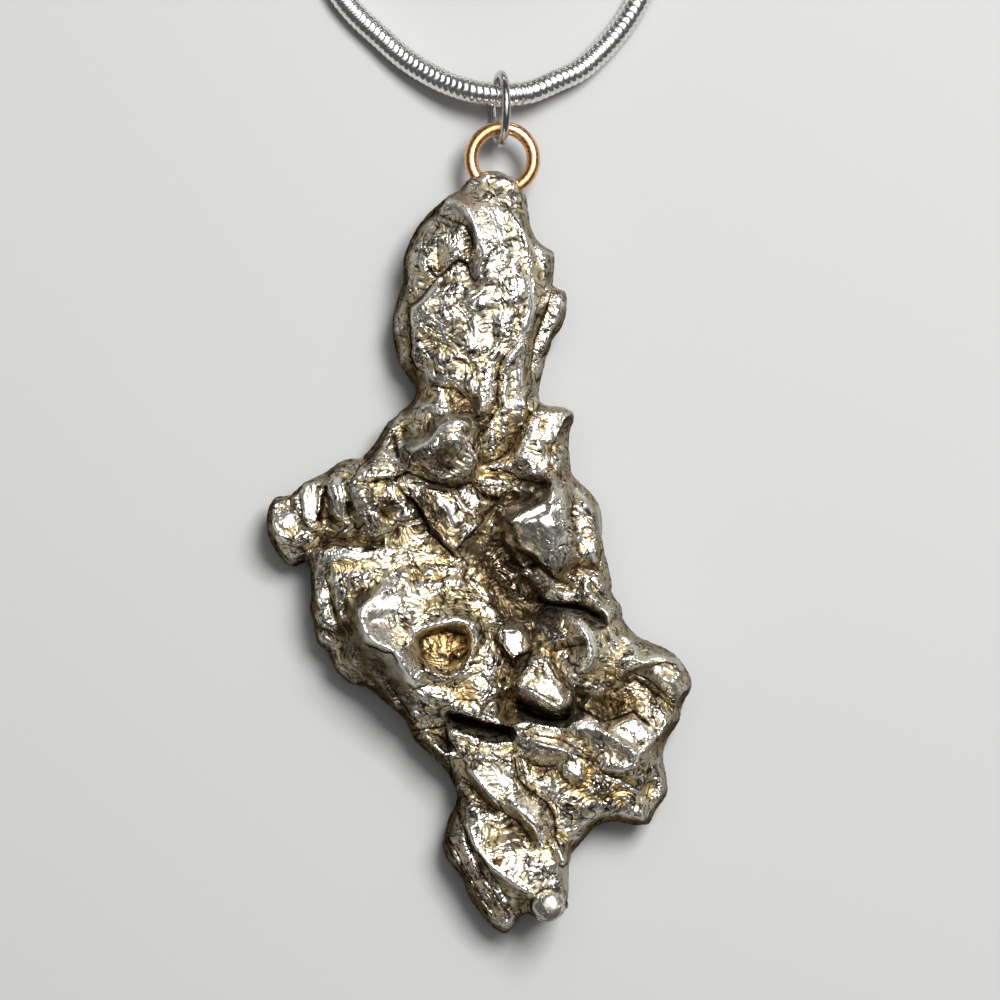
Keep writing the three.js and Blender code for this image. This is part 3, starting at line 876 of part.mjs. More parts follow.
// The jump ring stands on edge, and the loop's wire lies in the bottom of it.
function makeJumpRing() {
  const loopTop = toPlan([RING.u, LOOP.v, LOOP.height]);
  loopTop.y += (LOOP.outerDiameter - LOOP.wire) / 2;
  const innerRadius = RING.outerDiameter / 2 - RING.wire;
  const rise = innerRadius - CLEARANCE - LOOP.wire / 2;
  const ring = new THREE.Mesh(
    new THREE.TorusGeometry((RING.outerDiameter - RING.wire) / 2, RING.wire / 2, RING.sides, RING.steps),
    steel,
  );
  ring.name = 'jump_ring';
  ring.rotation.y = THREE.MathUtils.degToRad(90 + RING.turnedDegrees);
  ring.position.set(loopTop.x, loopTop.y + rise, loopTop.z);
  return ring;
}

function makeChain() {
  const section = new THREE.Shape();
  for (let side = 0; side < CHAIN.sides; side += 1) {
    const angle = ((side + 0.5) / CHAIN.sides) * 2 * Math.PI;
    const corner = [Math.cos(angle), Math.sin(angle)].map((part) => (part * CHAIN.diameter) / 2);
    if (side === 0) section.moveTo(...corner);
    else section.lineTo(...corner);
  }
  const route = new THREE.CatmullRomCurve3(CHAIN_ROUTE.map(toPlan), false, 'centripetal');
  const steps = Math.round(route.getLength() / CHAIN.step);
  const tube = new THREE.ExtrudeGeometry(section, { extrudePath: route, steps, bevelEnabled: false });
  const chain = new THREE.Mesh(tube, steel);
  chain.name = 'snake_chain';
  return chain;
}

function makeCoil() {
  const inside = COIL.innerTurn - CHAIN.diameter / 2;
  const outside = COIL.innerTurn + COIL.turns * COIL.pitch + CHAIN.diameter / 2;
  const top = COIL.ground + (COIL.layers - 1) * COIL.pitch + CHAIN.diameter;
  const corners = [[inside, COIL.ground], [outside, COIL.ground], [outside, top], [inside, top]];
  const profile = [...corners, corners[0]].map((corner) => new THREE.Vector2(...corner));
  const ring = new THREE.LatheGeometry(profile, COIL.sides);
  const coil = new THREE.Mesh(ring, steel);
  coil.name = 'chain_coil';
  coil.rotation.x = Math.PI / 2;
  coil.position.copy(toPlan([COIL.u, COIL.v, 0]));
  return coil;
}

const pendant = new THREE.Group();
pendant.add(makeMeteorite(), makeLoop(), makeJumpRing());

// The origin is under the middle of the pendant without its chain, on the surface that it lies on.
const box = new THREE.Box3().setFromObject(pendant);
pendant.position.set(-(box.min.x + box.max.x) / 2, -(box.min.y + box.max.y) / 2, -box.min.z);
pendant.add(makeChain(), makeCoil());

export default pendant;
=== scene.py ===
"""An iron meteorite fragment with its wire loop, jump ring and snake chain, lying on a pale floor.

The fragment's surface is a finer skin over its CAD solid: subdivided, with swellings, plates, a bead,
crests, knobs, holes and cracks that are placed one by one, and folded by layers of noise. Its colour
follows how worn each place is, with some painted highlight on crests and painted shade in deep and
steep places and cracks. Places lie on the part's plan grid: u steps to the right, v towards the tail.
"""

import math

import bmesh
import bpy
import numpy as np
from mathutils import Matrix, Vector
from numpy.linalg import norm


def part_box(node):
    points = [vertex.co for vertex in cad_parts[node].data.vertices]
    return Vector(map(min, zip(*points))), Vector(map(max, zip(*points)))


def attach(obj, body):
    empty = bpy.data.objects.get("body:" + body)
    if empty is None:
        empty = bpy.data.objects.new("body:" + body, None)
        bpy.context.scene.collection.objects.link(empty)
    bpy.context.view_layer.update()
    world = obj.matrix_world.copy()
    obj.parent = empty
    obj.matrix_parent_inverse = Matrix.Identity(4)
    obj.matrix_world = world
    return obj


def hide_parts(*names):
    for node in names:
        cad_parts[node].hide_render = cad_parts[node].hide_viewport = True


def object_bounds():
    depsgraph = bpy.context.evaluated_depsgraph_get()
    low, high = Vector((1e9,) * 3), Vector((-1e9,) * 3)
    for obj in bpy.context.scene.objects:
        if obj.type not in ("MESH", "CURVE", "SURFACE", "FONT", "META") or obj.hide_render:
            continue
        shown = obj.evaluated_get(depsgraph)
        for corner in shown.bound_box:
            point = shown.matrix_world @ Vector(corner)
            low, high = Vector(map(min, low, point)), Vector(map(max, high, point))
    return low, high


MM = 0.001
GRID = 0.08 * MM  # metres per step of the plan grid
VIEW_CENTRE = (500.0, 500.0)  # the grid's place in the middle of the picture
VIEW_STEPS = 1000.0  # grid steps across the picture
LEFT_END_U = 264.43  # the fragment's leftmost place on the grid
TAIL_END_V = 936.95  # its lowest place on the grid
WELD = 0.002 * MM  # nearer corners of a solid are one
TINY = 1e-30  # keeps a division by nothing finite

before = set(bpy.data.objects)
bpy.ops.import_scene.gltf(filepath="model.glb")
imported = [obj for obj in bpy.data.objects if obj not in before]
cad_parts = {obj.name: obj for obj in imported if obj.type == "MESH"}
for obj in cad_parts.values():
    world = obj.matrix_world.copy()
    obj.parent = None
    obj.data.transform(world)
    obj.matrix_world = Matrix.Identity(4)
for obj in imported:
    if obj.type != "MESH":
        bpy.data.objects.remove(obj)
scene = bpy.context.scene
cad_low, cad_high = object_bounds()
body_low, body_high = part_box("meteorite")


def plan(u, v):
    """The place in metres of a point of the plan grid."""
    return (body_low[0] + (u - LEFT_END_U) * GRID, body_low[1] + (TAIL_END_V - v) * GRID)


def add_object(name, data):
    thing = bpy.data.objects.new(name, data)
    scene.collection.objects.link(thing)
    return thing


def add_mesh(name, points, faces, material):
    mesh = bpy.data.meshes.new(name)
    mesh.from_pydata(points.tolist(), [], faces)
    mesh.shade_smooth()
    mesh.materials.append(material)
    return add_object(name, mesh)


def welded(mesh):
    """A CAD solid's mesh for editing, with its corners joined."""
    work = bmesh.new()
    work.from_mesh(mesh)
    bmesh.ops.remove_doubles(work, verts=work.verts, dist=WELD)
    return work


# ---- camera

LENS, SENSOR = 150.0, 36.0  # in mm
NEAREST, FARTHEST = 0.01, 10.0  # that the camera sees


def make_camera():
    """Straight above the middle of the grid, which just fills the picture."""
    data = bpy.data.cameras.new("camera")
    data.sensor_width = SENSOR
    data.lens = LENS
    data.clip_start = NEAREST
    data.clip_end = FARTHEST
    camera = add_object("camera", data)
    x, y = plan(*VIEW_CENTRE)
    middle = 0.5 * (body_low[2] + body_high[2])
    camera.location = (x, y, middle + VIEW_STEPS * GRID * LENS / SENSOR)
    scene.camera = camera


# ---- nodes of the materials

NOISE_MEAN = (0.5, 0.5, 0.5)  # of a noise or cell colour
FACET_BEND = 0.7  # waves of the noise that bends a facet's borders, in its size


class Nodes:
    """Short forms for the nodes that the materials are made of."""

    def __init__(self, name):
        self.material = bpy.data.materials.new(name)
        self.material.use_nodes = True
        self.tree = self.material.node_tree
        self.shader = self.tree.nodes["Principled BSDF"]
        self.shader.inputs["Metallic"].default_value = 1.0
        self.place = self.add("ShaderNodeTexCoord", {}).outputs["Object"]

    def add(self, kind, inputs, **settings):
        """A new node with its inputs, by name or number, and its settings."""
        node = self.tree.nodes.new(kind)
        for key, value in settings.items():
            setattr(node, key, value)
        for key, value in inputs.items():
            self.put(value, node.inputs[key])
        return node

    def put(self, value, socket):
        if isinstance(value, (int, float)):
            socket.default_value = value
        elif isinstance(value, tuple):
            socket.default_value = value if socket.type == "VECTOR" else (*value, 1.0)
        else:
            self.tree.links.new(value, socket)

    def finish(self, colour, roughness, normal):
        """Puts these on the shader."""
        for name, value in (("Base Color", colour), ("Roughness", roughness), ("Normal", normal)):
            self.put(value, self.shader.inputs[name])
        return self.material

    def attribute(self, name):
        return self.add("ShaderNodeAttribute", {}, attribute_name=name).outputs["Fac"]

    def remap(self, value, low, high, out_low=0.0, out_high=1.0):
        inputs = dict(enumerate((value, low, high, out_low, out_high)))
        node = self.add("ShaderNodeMapRange", inputs, interpolation_type="SMOOTHSTEP")
        return node.outputs["Result"]

    def math(self, operation, first, second):
        node = self.add("ShaderNodeMath", {0: first, 1: second}, operation=operation)
        return node.outputs["Value"]

    def times(self, first, second):
        return self.math("MULTIPLY", first, second)

    def mix(self, factor, first, second):
        inputs = {"Factor": factor, 6: first, 7: second}
        return self.add("ShaderNodeMix", inputs, data_type="RGBA").outputs[2]

    def noise(self, wavelength, detail, roughness=0.55, distortion=0.0):
        inputs = {"Vector": self.place, "Scale": 1 / wavelength, "Detail": detail,
                  "Roughness": roughness, "Distortion": distortion}
        return self.add("ShaderNodeTexNoise", inputs).outputs["Fac"]

    def folds(self, wavelength, count, detail, distortion):
        """Sharp folds, 0 in their creases and 1 on their crests, about wavelength / count apart."""
        noise = self.noise(wavelength, detail, 0.5, distortion)
        return self.math("PINGPONG", self.times(noise, 2.0 * count), 1.0)

    def vector(self, operation, first, second, output="Vector"):
        node = self.add("ShaderNodeVectorMath", {0: first, 1: second}, operation=operation)
        return node.outputs[output]

    def facets(self, size):
        """The height in metres of flat facets about a size across, each at a tilt of its own."""
        bend = self.add("ShaderNodeTexNoise", {"Vector": self.place, "Scale": FACET_BEND / size})
        bend = self.vector("SUBTRACT", bend.outputs["Color"], NOISE_MEAN)
        place = self.vector("ADD", self.place, self.vector("MULTIPLY", bend, (size, size, size)))
        cells = self.add("ShaderNodeTexVoronoi", {"Vector": place, "Scale": 1 / size})
        tilt = self.vector("SUBTRACT", cells.outputs["Color"], NOISE_MEAN)
        across = self.vector("SUBTRACT", place, cells.outputs["Position"])
        return self.vector("DOT_PRODUCT", tilt, across, "Value")

    def bump(self, height, distance, strength, normal=None):
        inputs = {"Height": height, "Distance": distance, "Strength": strength}
        if normal is not None:
            inputs["Normal"] = normal
        return self.add("ShaderNodeBump", inputs).outputs["Normal"]


# ---- the snake chain

CHAIN_DIAMETER = 1.9 * MM
LINK_PITCH = 0.53 * MM
LINK_SIDES = 16  # corners round the chain
LINK_PROFILE = (0.90, 0.98, 1.0, 0.98)  # its radius along one link, from groove to groove
LINK_ZIGZAG = 0.34  # how far, in links, every other corner is set back

# From the jump ring to the coil's left, and from its right back to the ring: u, v, height in mm.
CHAIN_LEFT = [
    (502, 92.5, 2.95), (472, 88, 2.75), (443, 77.5, 2.1), (407, 56, 1.4), (376.5, 29.3, 1.1),
    (353.6, 7.7, 1), (338, -12, 1), (325, -40, 1), (318, -75, 1), (317, -108, 1), (321, -150, 1),
]
CHAIN_RIGHT = [
    (662, -155, 2.6), (665, -108, 1.9), (664, -85, 1.6), (658, -52, 1.2), (648, -22, 1), (634.2, 5, 1),
    (618.9, 26.8, 1), (601, 47, 1.2), (580.6, 65, 1.6), (555, 77.8, 2.2), (531, 88.5, 2.75),
    (502, 92.5, 2.95),
]
COIL_CENTRE = (493, -190)
COIL_INNER, COIL_OUTER = 7.0, 13.0  # radius in mm of its innermost and outermost turn
COIL_TURNS = 3  # in each of its two layers
CLIMB_TURNS = 0.5  # on the way up from the lower layer
COIL_LOW, COIL_HIGH = 1.0, 3.0  # height in mm of the layers
COIL_DIP = 0.5  # how far the chain swings inwards as it changes layers
TURN_POINTS = 24
CURVE_STEPS = 24  # fine points between two knots of a smooth line


def coil_points():
    """Clockwise inwards in the lower layer, up along the inside, and clockwise outwards above it."""
    stretches = [(COIL_TURNS, COIL_OUTER, COIL_INNER, COIL_LOW, COIL_LOW, 0),
                 (CLIMB_TURNS, COIL_INNER, COIL_INNER, COIL_LOW, COIL_HIGH, COIL_DIP),
                 (COIL_TURNS, COIL_INNER, COIL_OUTER, COIL_HIGH, COIL_HIGH, 0)]
    x, y = plan(*COIL_CENTRE)
    angle = math.pi
    points = []
    for turns, first, last, low, high, dip in stretches:
        count = int(turns * TURN_POINTS)
        for step in range(count):
            part = step / count
            radius = (first + (last - first) * part - dip * math.sin(math.pi * part)) * MM
            turned = angle - 2 * math.pi * turns * part
            height = (low + (high - low) * part) * MM
            points.append((x + radius * math.cos(turned), y + radius * math.sin(turned), height))
        angle -= 2 * math.pi * turns
    points.append((x + COIL_OUTER * MM, y, COIL_HIGH * MM))
    return points


def between(t, low, high, first, last):
    """What lies at t on the line from first at low to last at high."""
    return (high - t) / (high - low) * first + (t - low) / (high - low) * last


def smooth_line(knots, spacing):
    """Evenly spaced points on the centripetal curve through the knots."""
    knots = np.array(knots)
    knots = np.vstack([2 * knots[0] - knots[1], knots, 2 * knots[-1] - knots[-2]])
    fine = []
    for a, b, c, d in zip(knots, knots[1:], knots[2:], knots[3:]):
        t0 = 0.0
        t1 = t0 + math.sqrt(norm(b - a))
        t2 = t1 + math.sqrt(norm(c - b))
        t3 = t2 + math.sqrt(norm(d - c))
        for t in np.linspace(t1, t2, CURVE_STEPS, endpoint=False):
            bc = between(t, t1, t2, b, c)
            abc = between(t, t0, t2, between(t, t0, t1, a, b), bc)
            bcd = between(t, t1, t3, bc, between(t, t2, t3, c, d))
            fine.append(between(t, t1, t2, abc, bcd))
    fine.append(knots[-2])
    fine = np.array(fine)
    along = np.concatenate([[0], np.cumsum(norm(np.diff(fine, axis=0), axis=1))])
    even = np.linspace(0, along[-1], round(along[-1] / spacing) + 1)
    return np.stack([np.interp(even, along, fine[:, axis]) for axis in range(3)], axis=1)


def make_chain(material):
    route = [(*plan(u, v), height * MM) for u, v, height in CHAIN_LEFT]
    route += coil_points()
    route += [(*plan(u, v), height * MM) for u, v, height in CHAIN_RIGHT]
    rings = len(LINK_PROFILE)
    line = smooth_line(route, LINK_PITCH / rings)
    tangent = np.gradient(line, axis=0)
    tangent /= norm(tangent, axis=1)[:, None]
    side = np.cross(tangent, (0, 0, 1))
    side /= norm(side, axis=1)[:, None]
    up = np.cross(side, tangent)
    radius = np.tile(LINK_PROFILE, len(line) // rings + 1)[:len(line)] * CHAIN_DIAMETER / 2
    zigzag = np.where(np.arange(LINK_SIDES) % 2, 0.5, -0.5) * LINK_ZIGZAG * LINK_PITCH
    angles = np.arange(LINK_SIDES) * 2 * math.pi / LINK_SIDES
    points = (line[:, None] + tangent[:, None] * zigzag[None, :, None]
              + radius[:, None, None] * (side[:, None] * np.cos(angles)[None, :, None]
                                         + up[:, None] * np.sin(angles)[None, :, None]))
    first = np.arange(len(line) - 1)[:, None] * LINK_SIDES
    here = np.arange(LINK_SIDES)[None]
    after = (here + 1) % LINK_SIDES
    corners = (first + here, first + after, first + LINK_SIDES + after, first + LINK_SIDES + here)
    faces = np.stack(corners, axis=2).reshape(-1, 4).tolist()
    last = (len(line) - 1) * LINK_SIDES
    faces.append(list(range(LINK_SIDES))[::-1])
    faces.append([last + corner for corner in range(LINK_SIDES)])
    chain = add_mesh("snake_chain_links", points.reshape(-1, 3), faces, material)
    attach(chain, "root")
    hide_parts("snake_chain", "chain_coil")
    length = float(norm(np.diff(line, axis=0), axis=1).sum())


# ---- noise

HASH_FACTORS = (73856093, 19349663, 83492791, 2654435761)  # for x, y, z and the seed
HASH_MIXER = 1274126177
HASH_LEVELS = 1024  # steps of the random angles and heights
NOISE_GAIN = 1.6  # brings the noise to about -1 to 1


def lattice_noise(points, seed):
    """Smooth gradient noise, about -1 to 1, at points given in units of its wavelength."""
    base = np.floor(points).astype(np.int64)
    part = points - base
    fade = part * part * part * (part * (part * 6 - 15) + 10)
    total = np.zeros(len(points))
    for corner in range(8):
        step = np.array([corner & 1, (corner >> 1) & 1, (corner >> 2) & 1])
        h = seed * HASH_FACTORS[3]
        for axis in range(3):
            h = h ^ ((base[:, axis] + step[axis]) * HASH_FACTORS[axis])
        h = (h ^ (h >> 13)) * HASH_MIXER
        h = h ^ (h >> 16)
        angle = h % HASH_LEVELS * (2 * math.pi / HASH_LEVELS)
        height = (h >> 10) % HASH_LEVELS / ((HASH_LEVELS - 1) / 2) - 1
        flat = np.sqrt(np.maximum(0, 1 - height * height))
        offset = part - step
        slope = offset[:, 0] * flat * np.cos(angle) + offset[:, 1] * flat * np.sin(angle)
        slope += offset[:, 2] * height
        total += np.prod(np.where(step == 1, fade, 1 - fade), axis=1) * slope
    return total * NOISE_GAIN


def folded(points, wavelength, count, seed):
    """Flat facets between sharp crests (1) and creases (-1), about wavelength / count apart."""
    waves = lattice_noise(points / wavelength, seed) * count
    return 1 - 4 * np.abs(waves - np.floor(waves) - 0.5)


def smoothstep(low, high, value):
    t = np.clip((value - low) / (high - low), 0, 1)
    return t * t * (3 - 2 * t)


# ---- meshes as arrays

CREASE_FROM = 10.0  # degrees of bend at which an edge of the solid starts to stay sharp
CREASE_RANGE = 36.0  # and how many more degrees make it wholly sharp
CREASE_MOST = 0.95


def solid_arrays(node):
    """The corners and triangles of a CAD solid, subdivided with its sharp edges kept."""
    work = welded(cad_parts[node].data)
    crease = work.edges.layers.float.new("crease_edge")
    for edge in work.edges:
        bend = abs(math.degrees(edge.calc_face_angle_signed()))
        edge[crease] = min(CREASE_MOST, max(0.0, (bend - CREASE_FROM) / CREASE_RANGE))
    mesh = bpy.data.meshes.new(node + "_base")
    work.to_mesh(mesh)
    work.free()
    base = add_object(node + "_base", mesh)
    base.modifiers.new("finer", "SUBSURF").levels = 1
    fine = base.evaluated_get(bpy.context.evaluated_depsgraph_get()).to_mesh()
    fine.calc_loop_triangles()
    points = np.empty(len(fine.vertices) * 3)
    fine.vertices.foreach_get("co", points)
    triangles = np.empty(len(fine.loop_triangles) * 3, dtype=np.int32)
    fine.loop_triangles.foreach_get("vertices", triangles)
    bpy.data.objects.remove(base)
    bpy.data.meshes.remove(mesh)
    return points.reshape(-1, 3), triangles.reshape(-1, 3).astype(np.int64)


def edges_of(triangles):
    """Each edge once, and for each triangle the numbers of its three edges."""
    pairs = np.stack([triangles, np.roll(triangles, -1, axis=1)], axis=2).reshape(-1, 2)
    edges, numbers = np.unique(np.sort(pairs, axis=1), axis=0, return_inverse=True)
    return edges, numbers.reshape(-1, 3)


def refined(points, triangles, longest):
    """Every edge that is longer than longest(middles) is split once."""
    edges, numbers = edges_of(triangles)
    middles = (points[edges[:, 0]] + points[edges[:, 1]]) / 2
    split = norm(points[edges[:, 0]] - points[edges[:, 1]], axis=1) > longest(middles)
    new = np.where(split, len(points) + np.cumsum(split) - 1, -1)
    points = np.vstack([points, middles[split]])
    middle = new[numbers]
    marks = (middle >= 0).sum(axis=1)
    # Turn each triangle so that its split edges come first.
    odd = np.where(marks == 2, np.argmin(middle, axis=1) + 1, np.argmax(middle, axis=1))
    turn = (np.arange(3)[None] + np.where((marks == 1) | (marks == 2), odd, 0)[:, None]) % 3
    a, b, c = np.take_along_axis(triangles, turn, axis=1).T
    ab, bc, ca = np.take_along_axis(middle, turn, axis=1).T
    parts = []
    for mark, cuts in enumerate([
        [(a, b, c)],
        [(a, ab, c), (ab, b, c)],
        [(a, ab, bc), (ab, b, bc), (a, bc, c)],
        [(a, ab, ca), (ab, b, bc), (ca, bc, c), (ab, bc, ca)],
    ]):
        chosen = marks == mark
        parts += [np.stack([corner[chosen] for corner in cut], axis=1) for cut in cuts]
    return points, np.vstack(parts)


def web_of(triangles):
    """The edges of a mesh, and how many of them meet at each of its points."""
    edges, _ = edges_of(triangles)
    return edges, np.bincount(edges.ravel()).astype(float)


def neighbour_mean(values, web):
    edges, counts = web
    total = np.zeros_like(values)
    for axis in range(values.shape[1]):
        total[:, axis] = np.bincount(edges[:, 0], values[edges[:, 1], axis], len(values))
        total[:, axis] += np.bincount(edges[:, 1], values[edges[:, 0], axis], len(values))
    return total / counts[:, None]


def blurred(values, web, rounds):
    """Values after that many rounds of going half way to the mean of their neighbours."""
    for _ in range(rounds):
        values = 0.5 * values + 0.5 * neighbour_mean(values, web)
    return values


def normals_of(points, triangles):
    a, b, c = (points[triangles[:, corner]] for corner in range(3))
    across = np.cross(b - a, c - a)
    total = np.zeros_like(points)
    for corner in range(3):
        for axis in range(3):
            total[:, axis] += np.bincount(triangles[:, corner], across[:, axis], len(points))
    return total / np.maximum(norm(total, axis=1), TINY)[:, None]


# ---- places on the fragment

# Lines and outlines are written as "u,v u,v ...".
# Thin cracks between the folds, dark with painted shade: half width and depth in mm, and line.
CRACKS = [
    (0.24, 0.4, "428,268 433,276 438,279 443,277 448,271 453,265 459,261 463,262 467,266"),
    (0.12, 0.2, "438,279 433,284 426,293 418,302 409,308 410,322 411,340 411,356 416,369 423,373"),
    (0.12, 0.22, "441,216 452,223 467,227 472,241 473,250"),
    (0.09, 0.16, "437,240 438,256 439,273"),
    (0.11, 0.16, "467,266 471,277 476,283 480,277 484,268 490,258 497,250 505,245"),
    (0.09, 0.14, "449,335 458,330 468,323 474,318"),
    (0.08, 0.12, "492,315 493,330 494,345"),
    (0.08, 0.12, "498,345 505,340 514,337"),
    (0.11, 0.2, "552,292 546,310 540,325 534,342 532,362 531,385"),
    (0.1, 0.2, "519,342 510,351 502,361 498,372 497,398 498,408 488,424 478,442"),
    (0.11, 0.22, "433,385 446,389 454,389 463,396 471,402 475,411"),
    (0.11, 0.2, "530,413 521,428 511,446 505,455 494,461 484,463"),
    (0.09, 0.16, "571,415 561,428 551,446 550,452"),
    (0.16, 0.3, "396,478 408,472 430,482 455,488 471,482"),
    (0.1, 0.2, "515,475 520,480 530,481 544,483"),
    (0.13, 0.26, "410,497 417,507 430,532 450,552 457,558"),
    (0.14, 0.26, "457,550 475,530 483,520"),
    (0.12, 0.2, "538,600 555,605 570,605 590,609 602,620"),
    (0.1, 0.18, "550,651 560,650 570,646 583,643"),
    (0.1, 0.16, "413,688 428,683 455,686 466,686"),
    (0.12, 0.22, "449,725 428,728 411,732"),
    (0.14, 0.26, "514,756 517,777 530,791 545,800 554,815 556,838 560,845"),
    (0.1, 0.18, "525,728 540,734 560,738 572,745 590,755"),
    (0.11, 0.2, "326,578 330,590 332,603 336,615"),
    (0.1, 0.18, "300,553 325,543 348,538 358,537"),
    (0.11, 0.2, "448,838 463,865 480,895 490,910"),
    (0.11, 0.2, "465,830 480,870 502,905"),
    (0.1, 0.18, "478,850 497,880 512,910"),
    (0.11, 0.22, "445,722 452,786 458,800"),
    (0.12, 0.24, "348,484 347,501 351,522 357,530 365,524"),
    (0.09, 0.16, "301,499 302,511 304,522"),
    (0.1, 0.18, "381,510 390,519 403,522 420,518"),
    (0.14, 0.26, "397,485 409,499 421,509 426,522 450,552"),
    (0.16, 0.34, "571,689 578,707 592,714 604,721 620,717 633,710 648,724"),
    (0.12, 0.24, "503,628 503,645 512,662"),
    (0.1, 0.2, "546,659 556,676 568,688"),
    (0.1, 0.2, "366,641 380,648 394,652 399,660"),
    (0.09, 0.16, "460,357 474,352 487,355"),
    (0.09, 0.16, "431,387 445,388 450,397 455,404"),
    (0.08, 0.14, "476,490 492,500 500,498"),
    (0.09, 0.16, "455,497 460,510 473,516"),
    (0.1, 0.18, "517,550 535,562 550,568"),
    (0.09, 0.14, "560,524 573,530 590,528"),
    (0.09, 0.14, "648,667 662,661 676,664"),
    (0.1, 0.2, "634,673 648,679 660,690 672,700"),
    (0.1, 0.2, "572,752 590,760 604,772 622,780 640,790"),
    (0.08, 0.14, "424,566 436,570 452,566 463,560"),
    (0.08, 0.14, "413,572 420,584 432,590 446,586"),
    (0.1, 0.18, "411,238 422,223 436,211 443,202"),
    (0.09, 0.16, "512,216 520,227 522,239 525,253"),
    (0.09, 0.16, "529,236 536,250 540,260"),
    (0.08, 0.12, "484,264 492,253 504,244 515,240"),
    (0.08, 0.12, "506,282 515,277 525,282 527,293"),
    (0.08, 0.14, "470,355 484,352 496,356"),
    (0.08, 0.14, "504,178 513,181"),
    (0.13, 0.25, "490,177 492,177"),
    (0.08, 0.14, "444,389 447,400"),
    (0.09, 0.16, "530,414 526,402 531,390"),
    (0.11, 0.2, "503,404 494,414 486,423 478,437 475,446"),
    (0.1, 0.18, "490,469 501,469 513,473"),
    (0.09, 0.16, "475,483 486,493 498,498 509,489 519,484"),
    (0.09, 0.16, "457,489 463,502 472,512"),
    (0.14, 0.26, "486,515 496,502 500,496"),
    (0.12, 0.22, "460,554 467,565 464,577 480,596"),
    (0.16, 0.3, "510,561 522,567 539,564"),
    (0.1, 0.18, "568,516 584,516 596,513"),
    (0.1, 0.18, "602,550 600,565"),
    (0.12, 0.24, "463,577 468,587 482,597 496,608 504,619"),
    (0.09, 0.16, "515,657 532,651"),
    (0.1, 0.18, "526,685 539,691 553,698 559,699"),
    (0.16, 0.26, "636,680 647,687 656,696"),
    (0.09, 0.16, "620,726 630,731 637,740"),
    (0.16, 0.3, "431,733 441,737 450,744"),
    (0.09, 0.16, "521,762 525,775 526,783"),
    (0.12, 0.2, "426,636 447,631 466,634"),
    (0.22, 0.3, "452,655 459,658 466,652"),
    (0.09, 0.14, "417,651 424,667 438,677 454,677"),
    (0.09, 0.16, "412,561 421,571 426,574"),
    (0.09, 0.16, "398,575 405,585 404,592"),
    (0.09, 0.14, "386,592 398,591 404,587"),
    (0.12, 0.18, "391,686 401,700 411,714 419,722"),
    (0.1, 0.18, "308,630 320,627 335,632"),
    (0.09, 0.16, "268,508 276,508 283,507"),
    (0.28, 0.16, "327,487 323,501 320,519"),
    (0.1, 0.2, "385,438 378,449 369,458 358,471 350,484"),
    (0.24, 0.2, "392,431 395,444 398,456"),
    (0.1, 0.18, "358,481 372,482 388,479 397,481"),
    (0.11, 0.2, "458,813 470,846 481,869 495,894 510,916"),
    (0.09, 0.16, "445,839 453,859 468,879 481,899 496,917"),
    (0.1, 0.2, "498,800 505,812 519,822 530,836"),
    (0.09, 0.16, "404,447 412,457 409,468"),
    (0.12, 0.24, "531,908 531,899 536,891 543,886 551,885 559,887"),
    (0.09, 0.16, "434,468 447,473 458,470"),
    (0.1, 0.18, "590,577 597,590 606,600"),
    (0.09, 0.16, "552,578 566,583 578,580"),
    (0.09, 0.16, "606,655 615,664 629,671"),
    (0.09, 0.16, "578,676 594,684 609,682"),
    (0.08, 0.14, "575,775 590,784 600,797 611,804"),
    (0.08, 0.14, "488,740 492,752 505,760"),
]
